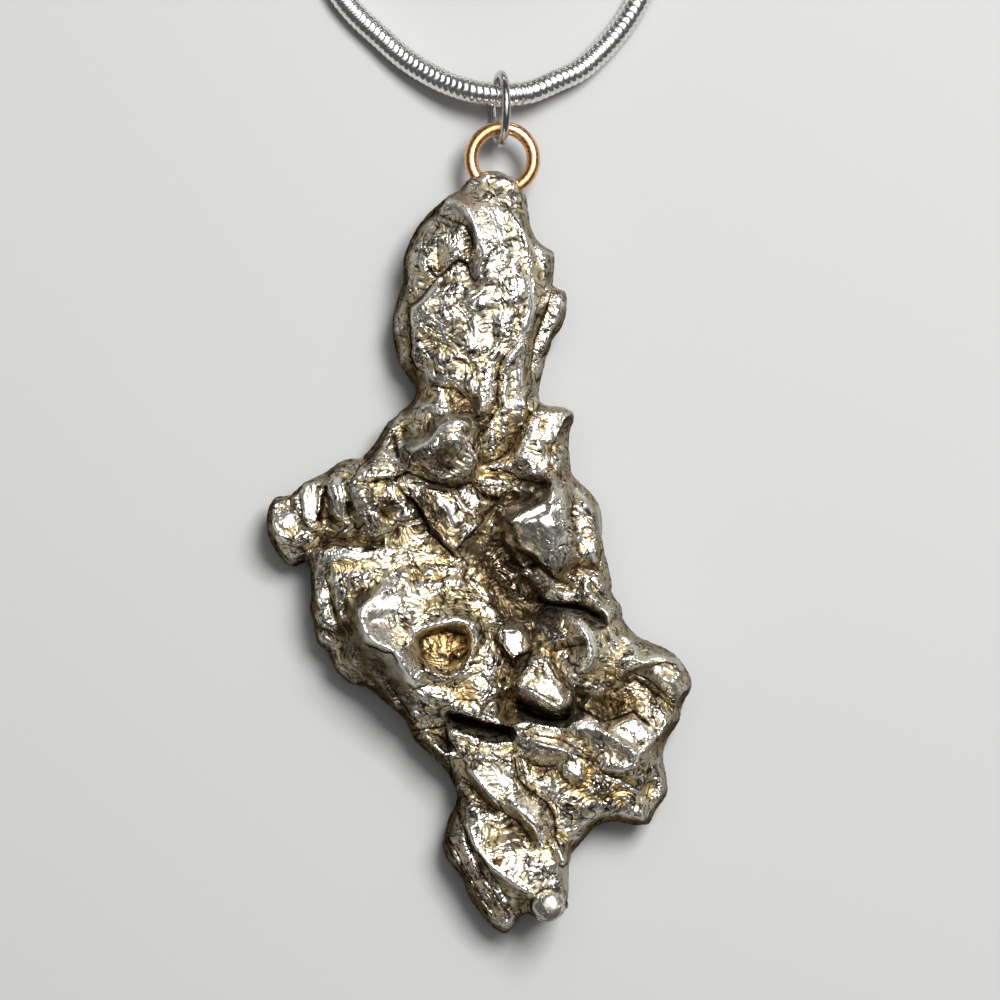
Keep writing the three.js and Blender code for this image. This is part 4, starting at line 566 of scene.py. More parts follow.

# Worn crests, bright with polish and partly with painted highlight: half width and height in mm, and
# line.
RIDGES = [
    (0.3, 0.28, "446,201 459,206 467,212 473,220 475,230 477,239"),
    (0.22, 0.1, "478,173 492,171 506,173 520,181"),
    (0.22, 0.18, "513,217 522,233 532,247 541,261"),
    (0.18, 0.14, "529,239 538,250 552,254"),
    (0.22, 0.1, "520,340 526,326 532,307 530,293 527,279"),
    (0.22, 0.1, "411,330 414,307 426,303 436,286 440,279"),
    (0.28, 0.22, "477,242 483,256 479,270 477,281"),
    (0.22, 0.1, "506,363 513,352 520,344"),
    (0.4, 0.14, "403,447 417,446 430,440 441,427 452,421 463,421"),
    (0.24, 0.16, "481,405 481,410"),
    (0.18, 0.12, "535,398 548,406 568,409"),
    (0.2, 0.12, "571,411 562,418 558,429 551,446"),
    (0.2, 0.08, "520,541 528,548 538,553"),
    (0.34, 0.16, "515,536 521,545 531,552"),
    (0.46, 0.16, "395,578 384,591 367,603 362,616 367,630 379,641 393,647 401,655 408,668 415,679"
                 " 424,687"),
    (0.26, 0.1, "413,640 415,630 426,626 447,621 468,622 474,632 473,650"),
    (0.16, 0.1, "540,570 550,581 556,591 570,594"),
    (0.34, 0.24, "567,612 578,622 587,633 592,646 591,658 585,667"),
    (0.3, 0.16, "600,620 607,616"),
    (0.24, 0.14, "633,667 646,661 655,657 676,660 682,668"),
    (0.3, 0.14, "661,679 674,685"),
    (0.22, 0.16, "525,685 539,693 553,703 560,709"),
    (0.2, 0.1, "546,662 559,681 573,692"),
    (0.18, 0.12, "498,629 518,627 526,636 525,653"),
    (0.24, 0.14, "564,726 578,724 588,716 601,726"),
    (0.26, 0.12, "535,738 550,738 564,745 578,751"),
    (0.2, 0.12, "613,724 632,714 648,728 653,737 641,747 632,761 620,768 604,766"),
    (0.26, 0.12, "561,764 571,770 582,777"),
    (0.2, 0.1, "446,730 457,732 468,737"),
    (0.2, 0.14, "478,755 495,753 514,756"),
    (0.18, 0.1, "471,770 486,786 500,803"),
    (0.2, 0.12, "513,801 526,818 536,828 543,839"),
    (0.32, 0.24, "556,842 563,858 567,886"),
    (0.2, 0.1, "468,823 476,843 490,863 503,874 519,884 533,891"),
    (0.16, 0.1, "602,773 619,781 642,793"),
    (0.18, 0.1, "329,486 333,501 337,512 348,521"),
    (0.18, 0.12, "384,442 388,453 397,461"),
    (0.14, 0.08, "400,523 410,524 420,522"),
    (0.14, 0.1, "408,583 412,592 424,597 436,592 440,584"),
    (0.2, 0.1, "318,590 325,604 328,618"),
    (0.16, 0.1, "456,497 462,508 472,514"),
    (0.18, 0.1, "598,508 601,520 602,536"),
    (0.26, 0.1, "305,484 304,496 306,512"),
    (0.24, 0.1, "313,485 314,507 311,524"),
    (0.3, 0.1, "338,481 342,499 344,513"),
    (0.24, 0.1, "274,510 275,526 285,540"),
    (0.3, 0.08, "330,558 347,554 366,556"),
    (0.24, 0.1, "575,490 586,500 593,512"),
    (0.22, 0.1, "577,506 583,519 580,530"),
    (0.22, 0.1, "580,538 590,547 595,560"),
    (0.28, 0.08, "440,379 452,381 462,387"),
    (0.26, 0.08, "508,385 504,396 508,408"),
    (0.3, 0.08, "519,372 521,392 516,408"),
    (0.26, 0.08, "538,424 530,439 520,452"),
    (0.3, 0.1, "553,422 548,434 541,444"),
    (0.28, 0.08, "412,402 430,409 446,412"),
    (0.26, 0.1, "488,384 490,398 482,412"),
    (0.3, 0.08, "440,498 450,508 454,522"),
    (0.3, 0.1, "470,318 476,331 474,345"),
    (0.26, 0.1, "492,212 498,228 502,242"),
    (0.24, 0.1, "548,300 556,298 562,304"),
    (0.24, 0.08, "430,318 440,326 446,340"),
]

# Holes with steep walls: depth in mm, how dark their painted shadow is, and the outline of the mouth.
HOLES = [
    (0.9, 0.0, "415,634 424,628 447,624 468,624 472,634 471,652 464,668 450,675 433,672 420,660"),
    (1.6, 1.0, "447,709 453,713 461,712 468,717 476,716 483,721 492,721 500,725 508,724 513,727"
               " 508,732 502,735 495,732 489,732 481,728 474,727 466,722 458,723 451,719"),
    (1.2, 0.9, "514,694 525,701 545,710 560,715 570,712 572,721 555,724 535,722 519,715"),
    (0.9, 0.9, "541,597 560,602 580,603 602,614 600,619 583,611 564,609 546,605"),
]
HOLE_WALL = 0.28 * MM  # how far inside its mouth a hole is fully deep

# Small round swellings: radius and height in mm, and the place (u, v).
KNOBS = [
    (0.5, 0.3, (480, 408)), (0.9, 0.2, (288, 518)), (0.7, 0.22, (571, 745)), (0.6, 0.18, (533, 815)),
    (0.8, 0.2, (603, 617)), (0.5, 0.16, (420, 584)), (0.6, 0.18, (590, 728)), (0.45, 0.14, (398, 597)),
    (0.6, 0.2, (325, 598)),
]

# Broad smooth swellings, written in the same way.
SWELLINGS = [(2.2, 1.0, (513, 527)), (1.6, 0.5, (530, 524))]

# Flat plates with crisp borders: how nearly flat, how far lifted in mm, the slopes to the right and up
# the picture, or None to keep those that it has, and the outline.
PLATES = [
    (1.0, 0.75, (-0.07, -0.19), "505,522 512,515 522,509 535,504 546,501 552,506 549,513 538,518"
                                " 525,522 512,526"),
    (0.8, 0.4, (-0.22, -0.05), "569,501 587,499 597,514 601,538 596,556 580,556 571,536"),
    (0.8, 0.0, (0.1, 0.14), "403,490 430,487 453,489 470,514 458,549 440,536 420,508"),
    (0.8, 0.05, None, "541,409 567,412 557,430 550,446 532,441"),
    (0.9, 0.12, None, "518,678 526,662 546,665 568,697 560,703 538,692"),
    (1.0, 0.3, (-0.12, -0.17), "496,632 508,628 521,629 527,651 513,661"),
    (0.7, 0.1, (-0.12, -0.14), "267,506 282,494 300,496 305,515 302,533 290,543 276,531"),
    (0.8, 0.12, (-0.1, -0.15), "288,498 299,484 321,481 321,503 318,523 303,522"),
    (0.8, 0.08, (-0.12, -0.14), "612,725 632,714 649,729 653,740 638,749 621,743"),
    (0.8, 0.25, (-0.08, -0.14), "448,735 459,736 470,741 482,743 496,746 478,753 468,764 456,752"),
    (0.8, 0.05, (0.02, 0.0), "470,770 479,755 513,759 518,788 500,800 485,788"),
    (0.9, 0.05, None, "604,776 624,781 643,791 634,804 600,807"),
]
PLATE_BORDER = 0.30 * MM  # how far inside its outline a plate is flat

# The polished bead on the end of the tail.
BEAD_PLACE = (549, 903)
BEAD_RADIUS = 1.42 * MM
BEAD_HEIGHT = 7.25 * MM  # of its middle
BEAD_FLATNESS = 0.85  # its height over its middle, as a share of its radius
BEAD_WAVER = 0.16  # how uneven its outline is, over waves of this length, and their seed
BEAD_WAVE, BEAD_SEED = 1.3 * MM, 31

# Worn, polished swellings of the face: u, v, reach in grid steps, strength.
POLISHED = [
    (525, 520, 22, 1), (545, 522, 22, 1), (549, 490, 14, 0.9), (543, 543, 18, 0.9), (445, 440, 34, 0.4),
    (380, 605, 22, 0.8), (376, 640, 24, 0.9), (404, 665, 22, 0.9), (582, 640, 16, 0.7),
    (547, 624, 20, 0.5), (545, 698, 26, 0.7), (620, 745, 20, 0.4), (590, 728, 16, 0.5),
    (550, 900, 22, 1), (562, 862, 16, 0.8), (525, 812, 18, 0.8), (486, 262, 16, 0.7),
    (462, 208, 16, 0.8), (508, 640, 16, 0.8), (545, 742, 22, 0.7), (660, 664, 22, 0.7),
    (636, 725, 20, 0.6), (494, 775, 24, 0.6), (384, 462, 14, 0.5), (358, 495, 12, 0.5),
    (455, 515, 22, 0.4), (440, 310, 30, 0.35), (515, 350, 12, 0.6),
]

# Tint of the metal: u, v, reach, and 1 for golden brown or -1 for silver.
TINTED = [
    (620, 792, 18, 1), (445, 648, 26, 1.4), (600, 790, 44, 1), (588, 552, 22, 0.6), (515, 420, 30, 0.7),
    (440, 395, 26, 0.5), (620, 692, 30, 0.7), (500, 585, 34, 0.6), (392, 503, 24, 0.6),
    (430, 575, 30, 0.6), (560, 640, 26, 0.5), (495, 700, 26, 0.6), (560, 735, 22, 0.6),
    (345, 560, 30, 0.5), (488, 478, 26, 0.7), (425, 740, 20, 0.7), (545, 435, 20, 0.6),
    (445, 440, 30, 0.4), (440, 520, 40, 0.4), (480, 700, 40, 0.4), (350, 680, 40, 0.5),
    (480, 230, 60, -0.8), (490, 300, 60, -0.6), (550, 520, 34, -0.9), (400, 610, 30, -0.5),
    (585, 645, 24, -0.7), (550, 890, 30, -0.8), (620, 745, 30, -0.5), (290, 520, 30, -0.4),
    (500, 790, 30, -0.3), (320, 610, 26, -0.4),
]

# Calm places, where the metal is smoother and only finely wrinkled: u, v, reach, strength.
CALM = [
    (510, 240, 26, 0.8), (500, 300, 40, 1), (462, 335, 36, 1), (525, 365, 26, 1), (512, 398, 20, 0.8),
    (440, 300, 20, 0.5), (505, 200, 26, 0.7), (436, 512, 26, 0.8), (414, 452, 18, 0.8),
    (548, 624, 22, 1), (585, 800, 36, 0.9), (620, 788, 30, 0.9), (535, 745, 16, 0.6),
]

# Painted shade in hollows and on faces turned away from the light: u, v, reach, and how dark.
PAINTED_SHADE = [
    (350, 606, 11, 0.3), (345, 627, 14, 0.6), (352, 650, 15, 0.9), (368, 672, 15, 0.9),
    (388, 690, 14, 0.9), (403, 712, 13, 0.9), (418, 742, 12, 0.8), (505, 575, 32, 1),
    (488, 558, 20, 0.8), (525, 598, 24, 1), (547, 624, 22, 0.9), (590, 700, 20, 0.6),
    (622, 690, 15, 0.5), (414, 452, 20, 0.8), (445, 458, 18, 0.8), (428, 508, 20, 0.6),
    (450, 527, 16, 0.6), (328, 505, 8, 0.7), (345, 541, 9, 0.5), (372, 545, 10, 0.5),
    (378, 502, 13, 0.6), (394, 504, 13, 1), (425, 345, 16, 0.4), (402, 295, 10, 0.7),
    (398, 340, 10, 0.7), (416, 226, 12, 0.5), (604, 790, 26, 0.3), (452, 780, 11, 0.8),
    (463, 803, 11, 0.8), (455, 838, 13, 0.5), (470, 872, 13, 0.5), (490, 900, 11, 0.7),
    (545, 746, 14, 0.5), (655, 702, 12, 0.4), (400, 402, 14, 0.6), (512, 422, 9, 0.5),
    (590, 560, 14, 0.5), (560, 576, 16, 0.6), (580, 592, 13, 0.7), (354, 478, 8, 0.5),
    (385, 430, 12, 0.6), (520, 462, 14, 0.6), (545, 482, 12, 0.2), (505, 507, 10, 0.2),
    (372, 655, 13, 0.9), (385, 669, 13, 0.9), (398, 684, 12, 0.9), (409, 698, 12, 0.8),
    (436, 512, 26, 1.3), (505, 690, 13, 0.8), (540, 665, 12, 0.5), (410, 232, 10, 0.5),
    (448, 232, 12, 0.5), (600, 740, 14, 0.3),
]
PLACE_CORE, PLACE_RIM = 0.35, 1.25  # where a place starts to fade and where it ends, in reaches


def route(line):
    """The places in metres of a line that is written as text."""
    return [plan(*map(float, place.split(","))) for place in line.split()]


def plan_distance(points, u, v):
    """Each point's distance in plan to a place of the grid."""
    x, y = plan(u, v)
    return np.hypot(points[:, 0] - x, points[:, 1] - y)


def cover(points, places):
    """How much the round places cover each point, all added up."""
    total = np.zeros(len(points))
    for u, v, reach, strength in places:
        distance = plan_distance(points, u, v)
        fade = smoothstep(PLACE_CORE * reach * GRID, PLACE_RIM * reach * GRID, distance)
        total += strength * (1 - fade)
    return total


def line_distance(points, line, reach, closed=False):
    """Each point's distance in plan to the line, where it is under reach."""
    places = np.array(route(line))
    if closed:
        places = np.vstack([places, places[:1]])
    best = np.full(len(points), np.inf)
    flat = points[:, :2]
    near = np.all((flat > places.min(0) - reach) & (flat < places.max(0) + reach), axis=1)
    near = np.flatnonzero(near)
    for a, b in zip(places, places[1:]):
        along = np.clip((flat[near] - a) @ (b - a) / np.sum((b - a) ** 2), 0, 1)
        nearest = a + along[:, None] * (b - a)
        best[near] = np.minimum(best[near], np.hypot(*(flat[near] - nearest).T))
    return best


def is_inside(points, outline):
    """Whether each point lies inside the outline, in plan."""
    inside = np.zeros(len(points), bool)
    places = route(outline)
    for (x1, y1), (x2, y2) in zip(places, places[1:] + places[:1]):
        crosses = (y1 > points[:, 1]) != (y2 > points[:, 1])
        inside ^= crosses & (points[:, 0] < (x2 - x1) * (points[:, 1] - y1) / (y2 - y1 or TINY) + x1)
    return inside


# ---- the shape of the skin

# The longest edges of the mesh: on the face, in two rounds, on the back, and beside the strokes, which
# are cracks, crests and the borders of holes and plates.
FACE_EDGES, BACK_EDGE, STROKE_EDGE = (0.35 * MM, 0.48 * MM), 0.95 * MM, 0.18 * MM
STROKE_REACH = 0.18 * MM  # half the width of the finest mesh
FINE_FLOOR, STROKE_FLOOR = 2.6 * MM, 3.5 * MM  # the heights where the face's and the finest mesh start
FACE_HEIGHTS = (3.0 * MM, 4.5 * MM)  # over these heights the walls give way to the face

WANDER, WANDER_WAVE = 0.45, 0.9 * MM  # how uneven a stroke's width is, and over what length
WANDER_SEED = 21
RIDGE_SPREAD = 1.6  # a crest fades out at this many half widths
RIDGE_WORN = (0.2, 0.7)  # heights, as a share of the crest's, at which it turns bright
KNOB_WORN, KNOB_EDGE = 0.7, 0.4  # how bright a knob is, and the share of its radius that is
HOLE_OUTSIDE = -0.1  # where a hole starts, in widths of its wall
HOLE_WANDER = 0.2  # how much of the strokes' unevenness its mouth has
CRACK_POWER = 0.8  # below 1, a crack has a blunt bottom
CRACK_DARK = (0.05, 0.7)  # depths, as a share of the crack's, over which its painted shade sets in

WARP, WARP_WAVE = 0.8, 2.6  # how far the folds are bent, and over what length, in mm
WARP_SEEDS = (11, 12, 13)
# The folds of the metal: wavelength in mm, number of folds, seed, height in mm, and the share of it
# that polish takes away.
FOLDS = [(5.2, 2.0, 1, 0.070, 0.375), (2.3, 1.8, 2, 0.026, 0.75), (1.1, 1.6, 3, 0.012, 0.75)]


def near_strokes(points):
    """Whether each point lies beside a stroke."""
    near = np.zeros(len(points), bool)
    for _, _, line in CRACKS + RIDGES:
        near |= line_distance(points, line, STROKE_REACH) < STROKE_REACH
    for outline in [hole[-1] for hole in HOLES] + [plate[-1] for plate in PLATES]:
        near |= line_distance(points, outline, STROKE_REACH, closed=True) < STROKE_REACH
    return near


def fine_mesh():
    """The solid's surface as a fine mesh, finer on the face and finest beside the strokes."""
    points, triangles = solid_arrays("meteorite")
    for longest in FACE_EDGES:
        points, triangles = refined(
            points, triangles,
            lambda middles: np.where(middles[:, 2] > FINE_FLOOR, longest, BACK_EDGE))
    points = blurred(points, web_of(triangles), 1)
    return refined(
        points, triangles,
        lambda middles: np.where(near_strokes(middles) & (middles[:, 2] > STROKE_FLOOR),
                                 STROKE_EDGE, BACK_EDGE))


def bead_distance(points):
    """Each point's distance in plan to the middle of the uneven bead."""
    waver = lattice_noise(points / BEAD_WAVE, BEAD_SEED)
    return plan_distance(points, *BEAD_PLACE) * (1 + BEAD_WAVER * waver)


def shaped(points):
    """The face with its broad swellings, its flat plates and its bead."""
    points = points.copy()
    height = points[:, 2]
    face = smoothstep(*FACE_HEIGHTS, height)
    for radius, rise, place in SWELLINGS:
        share = plan_distance(points, *place) / (radius * MM)
        height += rise * MM * smoothstep(1, 0, share) * face
    for share, lift, slopes, outline in PLATES:
        inside = is_inside(points, outline) & (face > 0)
        across = points[inside, :2] - points[inside, :2].mean(axis=0)
        lying = np.column_stack([across, np.ones(len(across))])
        plane = np.linalg.lstsq(lying, height[inside], rcond=None)[0]
        if slopes is not None:
            plane[:2] = slopes
        border = line_distance(points[inside], outline, PLATE_BORDER, closed=True)
        flatness = smoothstep(0, PLATE_BORDER, border) * share * face[inside]
        height[inside] += flatness * (lying @ plane + lift * MM - height[inside])
    distance = bead_distance(points)
    bead = BEAD_HEIGHT + BEAD_FLATNESS * np.sqrt(np.maximum(0, BEAD_RADIUS ** 2 - distance ** 2))
    covered = (distance < BEAD_RADIUS) & (face > 0.5)
    height[covered] = np.maximum(height, bead)[covered]
    return points


def strokes(points):
    """How far crests, knobs, holes and cracks lift each point, its painted shade, and how worn it is.
    """
    height = np.zeros(len(points))
    crack_and_hole_shade = np.zeros(len(points))
    worn = np.zeros(len(points))
    wander = 1 + WANDER * lattice_noise(points / WANDER_WAVE, WANDER_SEED)
    for half_width, rise, line in RIDGES:
        distance = line_distance(points, line, 2 * half_width * MM) * wander
        inside = np.clip(1 - distance / (RIDGE_SPREAD * half_width * MM), 0, 1)
        height = np.maximum(height, rise * MM * smoothstep(0, 1, inside))
        worn = np.maximum(worn, smoothstep(*RIDGE_WORN, inside))
    for radius, rise, place in KNOBS:
        share = plan_distance(points, *place) / (radius * MM)
        height += rise * MM * np.sqrt(np.maximum(0, 1 - share ** 2))
        worn = np.maximum(worn, KNOB_WORN * smoothstep(1.0, KNOB_EDGE, share))
    for depth, darkness, outline in HOLES:
        distance = line_distance(points, outline, 3 * HOLE_WALL, closed=True)
        distance = np.where(is_inside(points, outline), np.minimum(distance, 2 * HOLE_WALL),
                            -np.minimum(distance, 1))
        distance *= 1 - HOLE_WANDER + HOLE_WANDER * wander
        inside = smoothstep(HOLE_OUTSIDE * HOLE_WALL, HOLE_WALL, distance)
        height -= depth * MM * inside
        # A dark hole gets a painted shadow.
        crack_and_hole_shade = np.maximum(crack_and_hole_shade, darkness * inside)
        worn *= 1 - inside
    for half_width, depth, line in CRACKS:
        distance = line_distance(points, line, 2 * half_width * MM) * wander
        inside = np.clip(1 - distance / (half_width * MM), 0, 1)
        height -= depth * MM * inside ** CRACK_POWER * (1 - crack_and_hole_shade)
        crack_and_hole_shade = np.maximum(crack_and_hole_shade, smoothstep(*CRACK_DARK, inside))
    return height, crack_and_hole_shade, worn


def crumple(points, polish):
    """The height in metres of the folds that cover the metal."""
    mm = points / MM
    warp = np.stack([lattice_noise(mm / WARP_WAVE, seed) for seed in WARP_SEEDS], axis=1)
    bent = mm + WARP * warp
    height = sum(rise * (1 - loss * polish) * folded(bent, wavelength, count, seed)
                 for wavelength, count, seed, rise, loss in FOLDS)
    return height * MM


# ---- the skin and what its colour follows

CALM_ROUNDS, CALM_SHARE = 8, 0.8  # rounds of smoothing in the calm places, and their share of it
SMOOTH_ROUNDS = 3  # before the slopes are read
SWELL_ROUNDS = 60  # enough to level all swellings
SWELL_WORN = (0.12, 0.35)  # how far in mm a swelling stands out as it starts to wear
SWELL_POLISH = 0.35  # and how polished it gets
CREST_SHARE = 0.45  # how much the worn crests are smoothed
FACE_SLOPE = (0.0, 0.35)  # the normal's upward part, from a wall to the face,
WALL_SLOPE = (0.2, 0.75)  # from a wall in full painted shade to one without,
TILT_SLOPE = (0.45, 0.92)  # and from a polished slope in full painted shade to one without
LIGHT_SIDE = (0.6, 0.8)  # towards the light, in plan
LIGHT_TURN, LIGHT_SHARE = 0.7, 0.5  # how far a wall turns to the light, and how much less painted shade it gets
BEAD_EDGE = (1.02, 0.95)  # shares of the bead's radius over which its polish starts
BEAD_TILT = 0.7  # how much less painted shade its slopes get
TILT_SHARE = 0.8  # how much painted shade a polished slope gets
RELIEF = [("edge", 4), ("lump", 20), ("depth", 120)]  # rounds of smoothing that level each


def dress_fragment(material):
    points, triangles = fine_mesh()
    web = web_of(triangles)
    calm = np.clip(cover(points, CALM), 0, 1)
    points += CALM_SHARE * calm[:, None] * (blurred(points, web, CALM_ROUNDS) - points)
    points = shaped(points)

    smooth = blurred(points, web, SMOOTH_ROUNDS)
    normals = normals_of(smooth, triangles)
    face = smoothstep(*FACE_SLOPE, normals[:, 2])
    # Painted shade on steep walls and on tilted polished slopes, less on those turned to the light.
    turned = 1 - LIGHT_SHARE * smoothstep(0.0, LIGHT_TURN, normals[:, :2] @ LIGHT_SIDE)
    painted_wall_shade = turned * (1 - smoothstep(*WALL_SLOPE, normals[:, 2]))
    tilted = turned * (1 - smoothstep(*TILT_SLOPE, normals[:, 2]))
    swelling = np.sum((points - blurred(smooth, web, SWELL_ROUNDS)) * normals, axis=1) / MM
    stroke, crack_and_hole_shade, worn = strokes(points)
    crack_and_hole_shade *= face
    bead = smoothstep(BEAD_EDGE[0] * BEAD_RADIUS, BEAD_EDGE[1] * BEAD_RADIUS, bead_distance(points))
    bead *= points[:, 2] > BEAD_HEIGHT
    painted_wall_shade *= 1 - bead
    tilted *= 1 - BEAD_TILT * bead
    polish = np.maximum.reduce([cover(points, POLISHED) * face, worn * face, bead,
                                SWELL_POLISH * smoothstep(*SWELL_WORN, swelling)])
    polish = np.clip(polish * (1 - crack_and_hole_shade), 0, 1)
    points = points + normals * crumple(points, polish)[:, None]
    points[:, 2] += stroke * face
    points += CREST_SHARE * (worn * face)[:, None] * (neighbour_mean(points, web) - points)
    points[:, 2] = np.maximum(points[:, 2], body_low[2])

    normals = normals_of(points, triangles)
    shown = {
        "polish": polish,
        "tint": cover(points, TINTED) * face,
        "calm": calm,
        "painted_shade": np.clip(cover(points, PAINTED_SHADE), 0, 1),
        "crest_and_highlight": worn * (1 - painted_wall_shade) * (1 - crack_and_hole_shade),
        "painted_wall_shade": np.maximum(painted_wall_shade, TILT_SHARE * tilted * polish),
        "crack_shade": crack_and_hole_shade,
    }
    level = points
    for name, rounds in RELIEF:
        level = blurred(level, web, rounds)
        shown[name] = np.sum((points - level) * normals, axis=1) / MM
    skin = add_mesh("fragment_skin", points, triangles.tolist(), material)
    for name, values in shown.items():
        layer = skin.data.attributes.new(name, "FLOAT", "POINT")
        layer.data.foreach_set("value", values.astype(np.float32))
    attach(skin, "root")
    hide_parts("meteorite")


# ---- materials

CHAMPAGNE = (0.70, 0.64, 0.49)
STRAW = (0.68, 0.57, 0.34)
GOLDEN_BROWN = (0.66, 0.46, 0.20)
WORN_METAL = (0.74, 0.71, 0.66)
BRIGHT_CREST_AND_HIGHLIGHT = (0.86, 0.84, 0.79)
# The five browns below are colours of painted shade; the fine lines' brown is only partly so.
HOLLOW_SHADE_BROWN = (0.08, 0.053, 0.026)
PAINTED_SHADE_BROWN = (0.085, 0.062, 0.036)
WALL_SHADE_BROWN = (0.09, 0.068, 0.04)
CREASE_LINE_SHADE_BROWN = (0.04, 0.021, 0.010)
CRACK_SHADE_BROWN = (0.022, 0.011, 0.007)
# Glare of the face, and of steep walls, dimmed there as painted shade.
FACE_GLARE = (0.8, 0.78, 0.72)
WALL_SHADE_GLARE = (0.2, 0.17, 0.12)
# Name, colour and roughness of each wire.
COPPER = ("copper_wire", (0.88, 0.50, 0.25), 0.24)
STEEL = ("steel_wire", (0.84, 0.83, 0.81), 0.22)
# The jump ring's wire: the chain's steel, darker by painted shade.
SHADED_RING_STEEL = ("ring_steel_painted_shade", (0.52, 0.51, 0.50), 0.18)


def iron_material():
    n = Nodes("nickel_iron")
    edge = n.remap(n.attribute("edge"), -0.012, 0.014)
    lump = n.remap(n.attribute("lump"), -0.07, 0.07)
    depth = n.remap(n.attribute("depth"), -0.5, 0.1)
    polish = n.attribute("polish")
    tint = n.attribute("tint")
    painted_wall_shade = n.attribute("painted_wall_shade")
    scribble = n.folds(2.2 * MM, 7.0, 2.0, 0.7)
    wrinkle = n.folds(2.0 * MM, 3.6, 3.0, 0.8)
    speckle = n.noise(0.22 * MM, 3.0, 0.6)
    patch = n.noise(0.7 * MM, 3.0)
    blotch = n.noise(1.8 * MM, 4.0)

    # From the metal's own tints to worn places, then painted shade in sunken places, in the listed
    # spots and on steep walls, and then the dark crease lines (partly painted shade), the bright crests
    # (partly painted highlight) and the cracks' painted shade over them.
    warmth = n.math("ADD", tint, n.remap(blotch, 0.3, 0.7, -0.45, 0.45))
    colour = n.mix(n.remap(warmth, -0.9, 0.2), CHAMPAGNE, STRAW)
    colour = n.mix(n.remap(warmth, 0.2, 1.2), colour, GOLDEN_BROWN)
    worn = n.math("MAXIMUM", n.times(edge, lump), polish)
    colour = n.mix(n.times(worn, 0.8), colour, WORN_METAL)
    # Painted shade in sunken places, less where the metal is golden brown.
    hollow_shade = n.remap(depth, 0.0, 0.75, 0.92, 0.0)
    hollow_shade = n.times(hollow_shade, n.remap(tint, 0.5, 1.0, 1.0, 0.15))
    colour = n.mix(hollow_shade, colour, HOLLOW_SHADE_BROWN)
    # Painted shade in the listed spots.
    colour = n.mix(n.times(n.attribute("painted_shade"), 0.9), colour, PAINTED_SHADE_BROWN)
    # Painted shade on steep walls.
    colour = n.mix(n.times(painted_wall_shade, 0.9), colour, WALL_SHADE_BROWN)
    # Dark lines in the creases of the fine folds: partly the metal's own lines, partly painted shade.
    crease_lines_and_shade = n.remap(scribble, 0.04, 0.40, 0.9, 0.0)
    crease_lines_and_shade = n.math("MAXIMUM", crease_lines_and_shade, n.remap(wrinkle, 0.02, 0.20, 1.0, 0.0))
    crease_lines_and_shade = n.times(crease_lines_and_shade, n.remap(patch, 0.32, 0.46))
    crease_lines_and_shade = n.times(crease_lines_and_shade, n.remap(polish, 0.2, 0.8, 1.0, 0.1))
    colour = n.mix(crease_lines_and_shade, colour, CREASE_LINE_SHADE_BROWN)
    # Worn crests: bright with polish, and partly a painted highlight; left out on walls in painted
    # shade.
    colour = n.mix(n.attribute("crest_and_highlight"), colour, BRIGHT_CREST_AND_HIGHLIGHT)
    # Painted shade in the cracks and in the dark holes.
    colour = n.mix(n.times(n.attribute("crack_shade"), 0.95), colour, CRACK_SHADE_BROWN)
    # Steep walls in painted shade also get a dimmer glare.
    n.put(n.mix(painted_wall_shade, FACE_GLARE, WALL_SHADE_GLARE), n.shader.inputs["Specular Tint"])

    # The relief, of which polished places have little. The facets have heights of their own, which a
    # factor of 0.6 lowers.
    roughness = n.remap(worn, 0.0, 1.0, 0.48, 0.30)
    roughness = n.math("ADD", roughness, n.remap(speckle, 0.3, 0.7, -0.06, 0.06))
    flatness = n.remap(polish, 0.1, 0.9, 1.0, 0.2)
    coarse = n.times(flatness, n.remap(n.attribute("calm"), 0.0, 1.0, 1.0, 0.25))
    normal = None
    for relief, amount, distance, strength in [
        (speckle, flatness, 0.04 * MM, 0.5),
        (n.facets(0.6 * MM), flatness, 0.6, 0.5),
        (n.facets(1.6 * MM), coarse, 0.6, 0.6),
        (scribble, flatness, 0.06 * MM, 0.7),
        (wrinkle, flatness, 0.18 * MM, 0.6),
    ]:
        normal = n.bump(n.times(relief, amount), distance, strength, normal)
    return n.finish(colour, roughness, normal)


def wire_material(name, colour, roughness):
    """Smooth drawn wire with faint blotches and scratches."""
    n = Nodes(name)
    tint = n.mix(n.remap(n.noise(0.8 * MM, 3.0), 0.35, 0.65), colour, tuple(c * 0.86 for c in colour))
    haze = n.remap(n.noise(0.3 * MM, 4.0), 0.3, 0.7, roughness * 0.8, roughness * 1.3)
    return n.finish(tint, haze, n.bump(n.noise(0.12 * MM, 3.0), 0.01 * MM, 0.35))


# ---- the wire loop and the jump ring

WIRE_LEVELS = 2  # rounds of subdivision


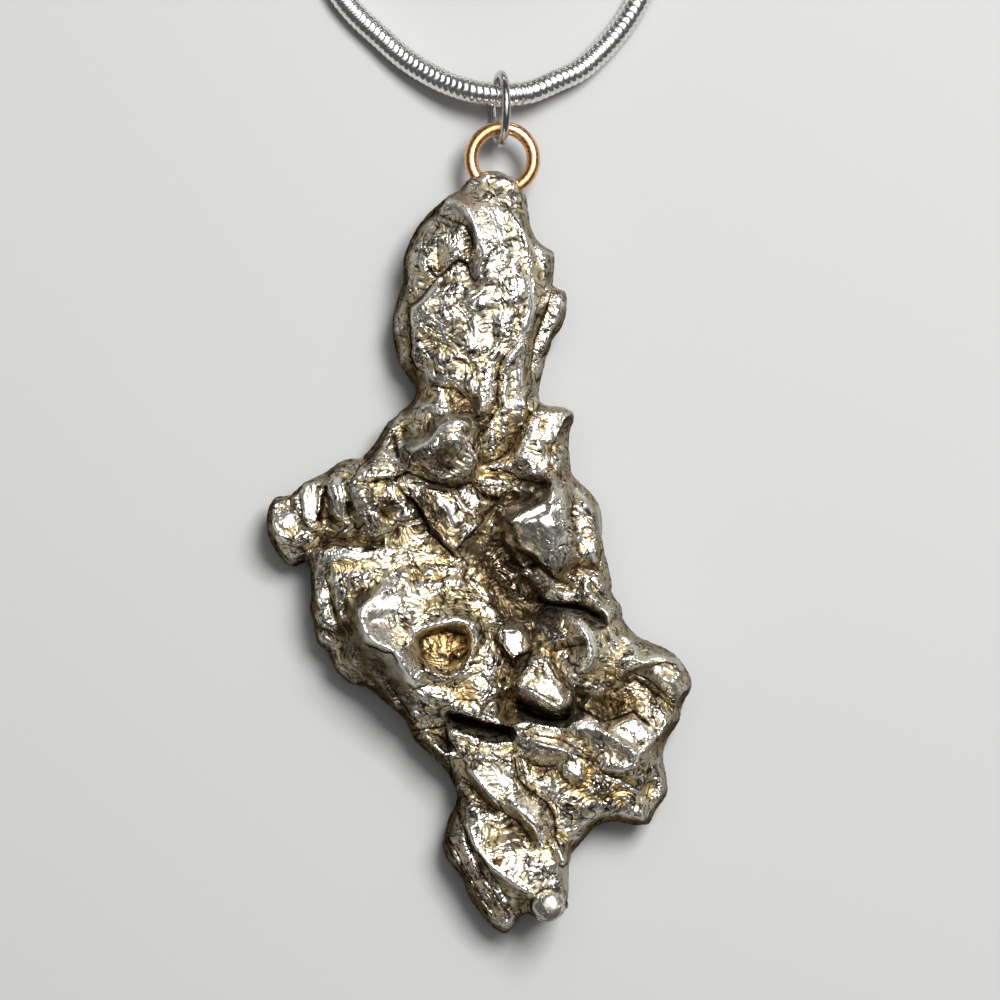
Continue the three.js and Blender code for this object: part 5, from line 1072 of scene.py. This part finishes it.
def dress_wire(name, node, material):
    """A rounder copy of a wire's solid."""
    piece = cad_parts[node].copy()
    piece.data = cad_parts[node].data.copy()
    piece.name = name
    scene.collection.objects.link(piece)
    work = welded(piece.data)
    work.to_mesh(piece.data)
    work.free()
    rounder = piece.modifiers.new("round", "SUBSURF")
    rounder.levels = rounder.render_levels = WIRE_LEVELS
    piece.data.materials.clear()
    piece.data.materials.append(material)
    piece.data.shade_smooth()
    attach(piece, "root")
    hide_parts(node)


# ---- floor and light

FLOOR_SIZE = 3.0
FLOOR_GAP = 0.02 * MM  # between the object and the floor
FLOOR_GREY = (0.33, 0.33, 0.325, 1)
FLOOR_ROUGHNESS = 0.9
STUDIO_GREY = (0.30, 0.30, 0.31, 1)
STUDIO_STRENGTH = 0.3
AIM_HEIGHT = 0.004
# Each lamp's name, place from the middle of the view, sides in metres, and power in watts.
LAMPS = [
    ("key", (0.15, 0.19, 0.46), (0.20, 0.18), 5.1),
    ("overhead", (0.12, 0.28, 0.85), (1.1, 1.2), 4.7),
]


def make_floor():
    bpy.ops.mesh.primitive_plane_add(size=FLOOR_SIZE, location=(0, 0, cad_low[2] - FLOOR_GAP))
    floor = bpy.context.object
    floor.name = "floor"
    material = bpy.data.materials.new("floor_paper")
    material.use_nodes = True
    shader = material.node_tree.nodes["Principled BSDF"]
    shader.inputs["Base Color"].default_value = FLOOR_GREY
    shader.inputs["Roughness"].default_value = FLOOR_ROUGHNESS
    floor.data.materials.append(material)


def light_studio():
    x, y = plan(*VIEW_CENTRE)
    aim = Vector((x, y, AIM_HEIGHT))
    for name, place, size, power in LAMPS:
        data = bpy.data.lights.new(name, "AREA")
        data.shape = "RECTANGLE"
        data.size, data.size_y = size
        data.energy = power
        lamp = add_object(name, data)
        lamp.location = (x + place[0], y + place[1], place[2])
        lamp.rotation_euler = (aim - lamp.location).to_track_quat("-Z", "Y").to_euler()
    world = bpy.data.worlds.new("studio")
    world.use_nodes = True
    background = world.node_tree.nodes["Background"]
    background.inputs["Color"].default_value = STUDIO_GREY
    background.inputs["Strength"].default_value = STUDIO_STRENGTH
    scene.world = world


make_camera()
make_chain(wire_material(*STEEL))
make_floor()
light_studio()
dress_fragment(iron_material())
dress_wire("copper_loop", "wire_loop", wire_material(*COPPER))
dress_wire("steel_ring", "jump_ring", wire_material(*SHADED_RING_STEEL))
scene.view_settings.view_transform = "Standard"
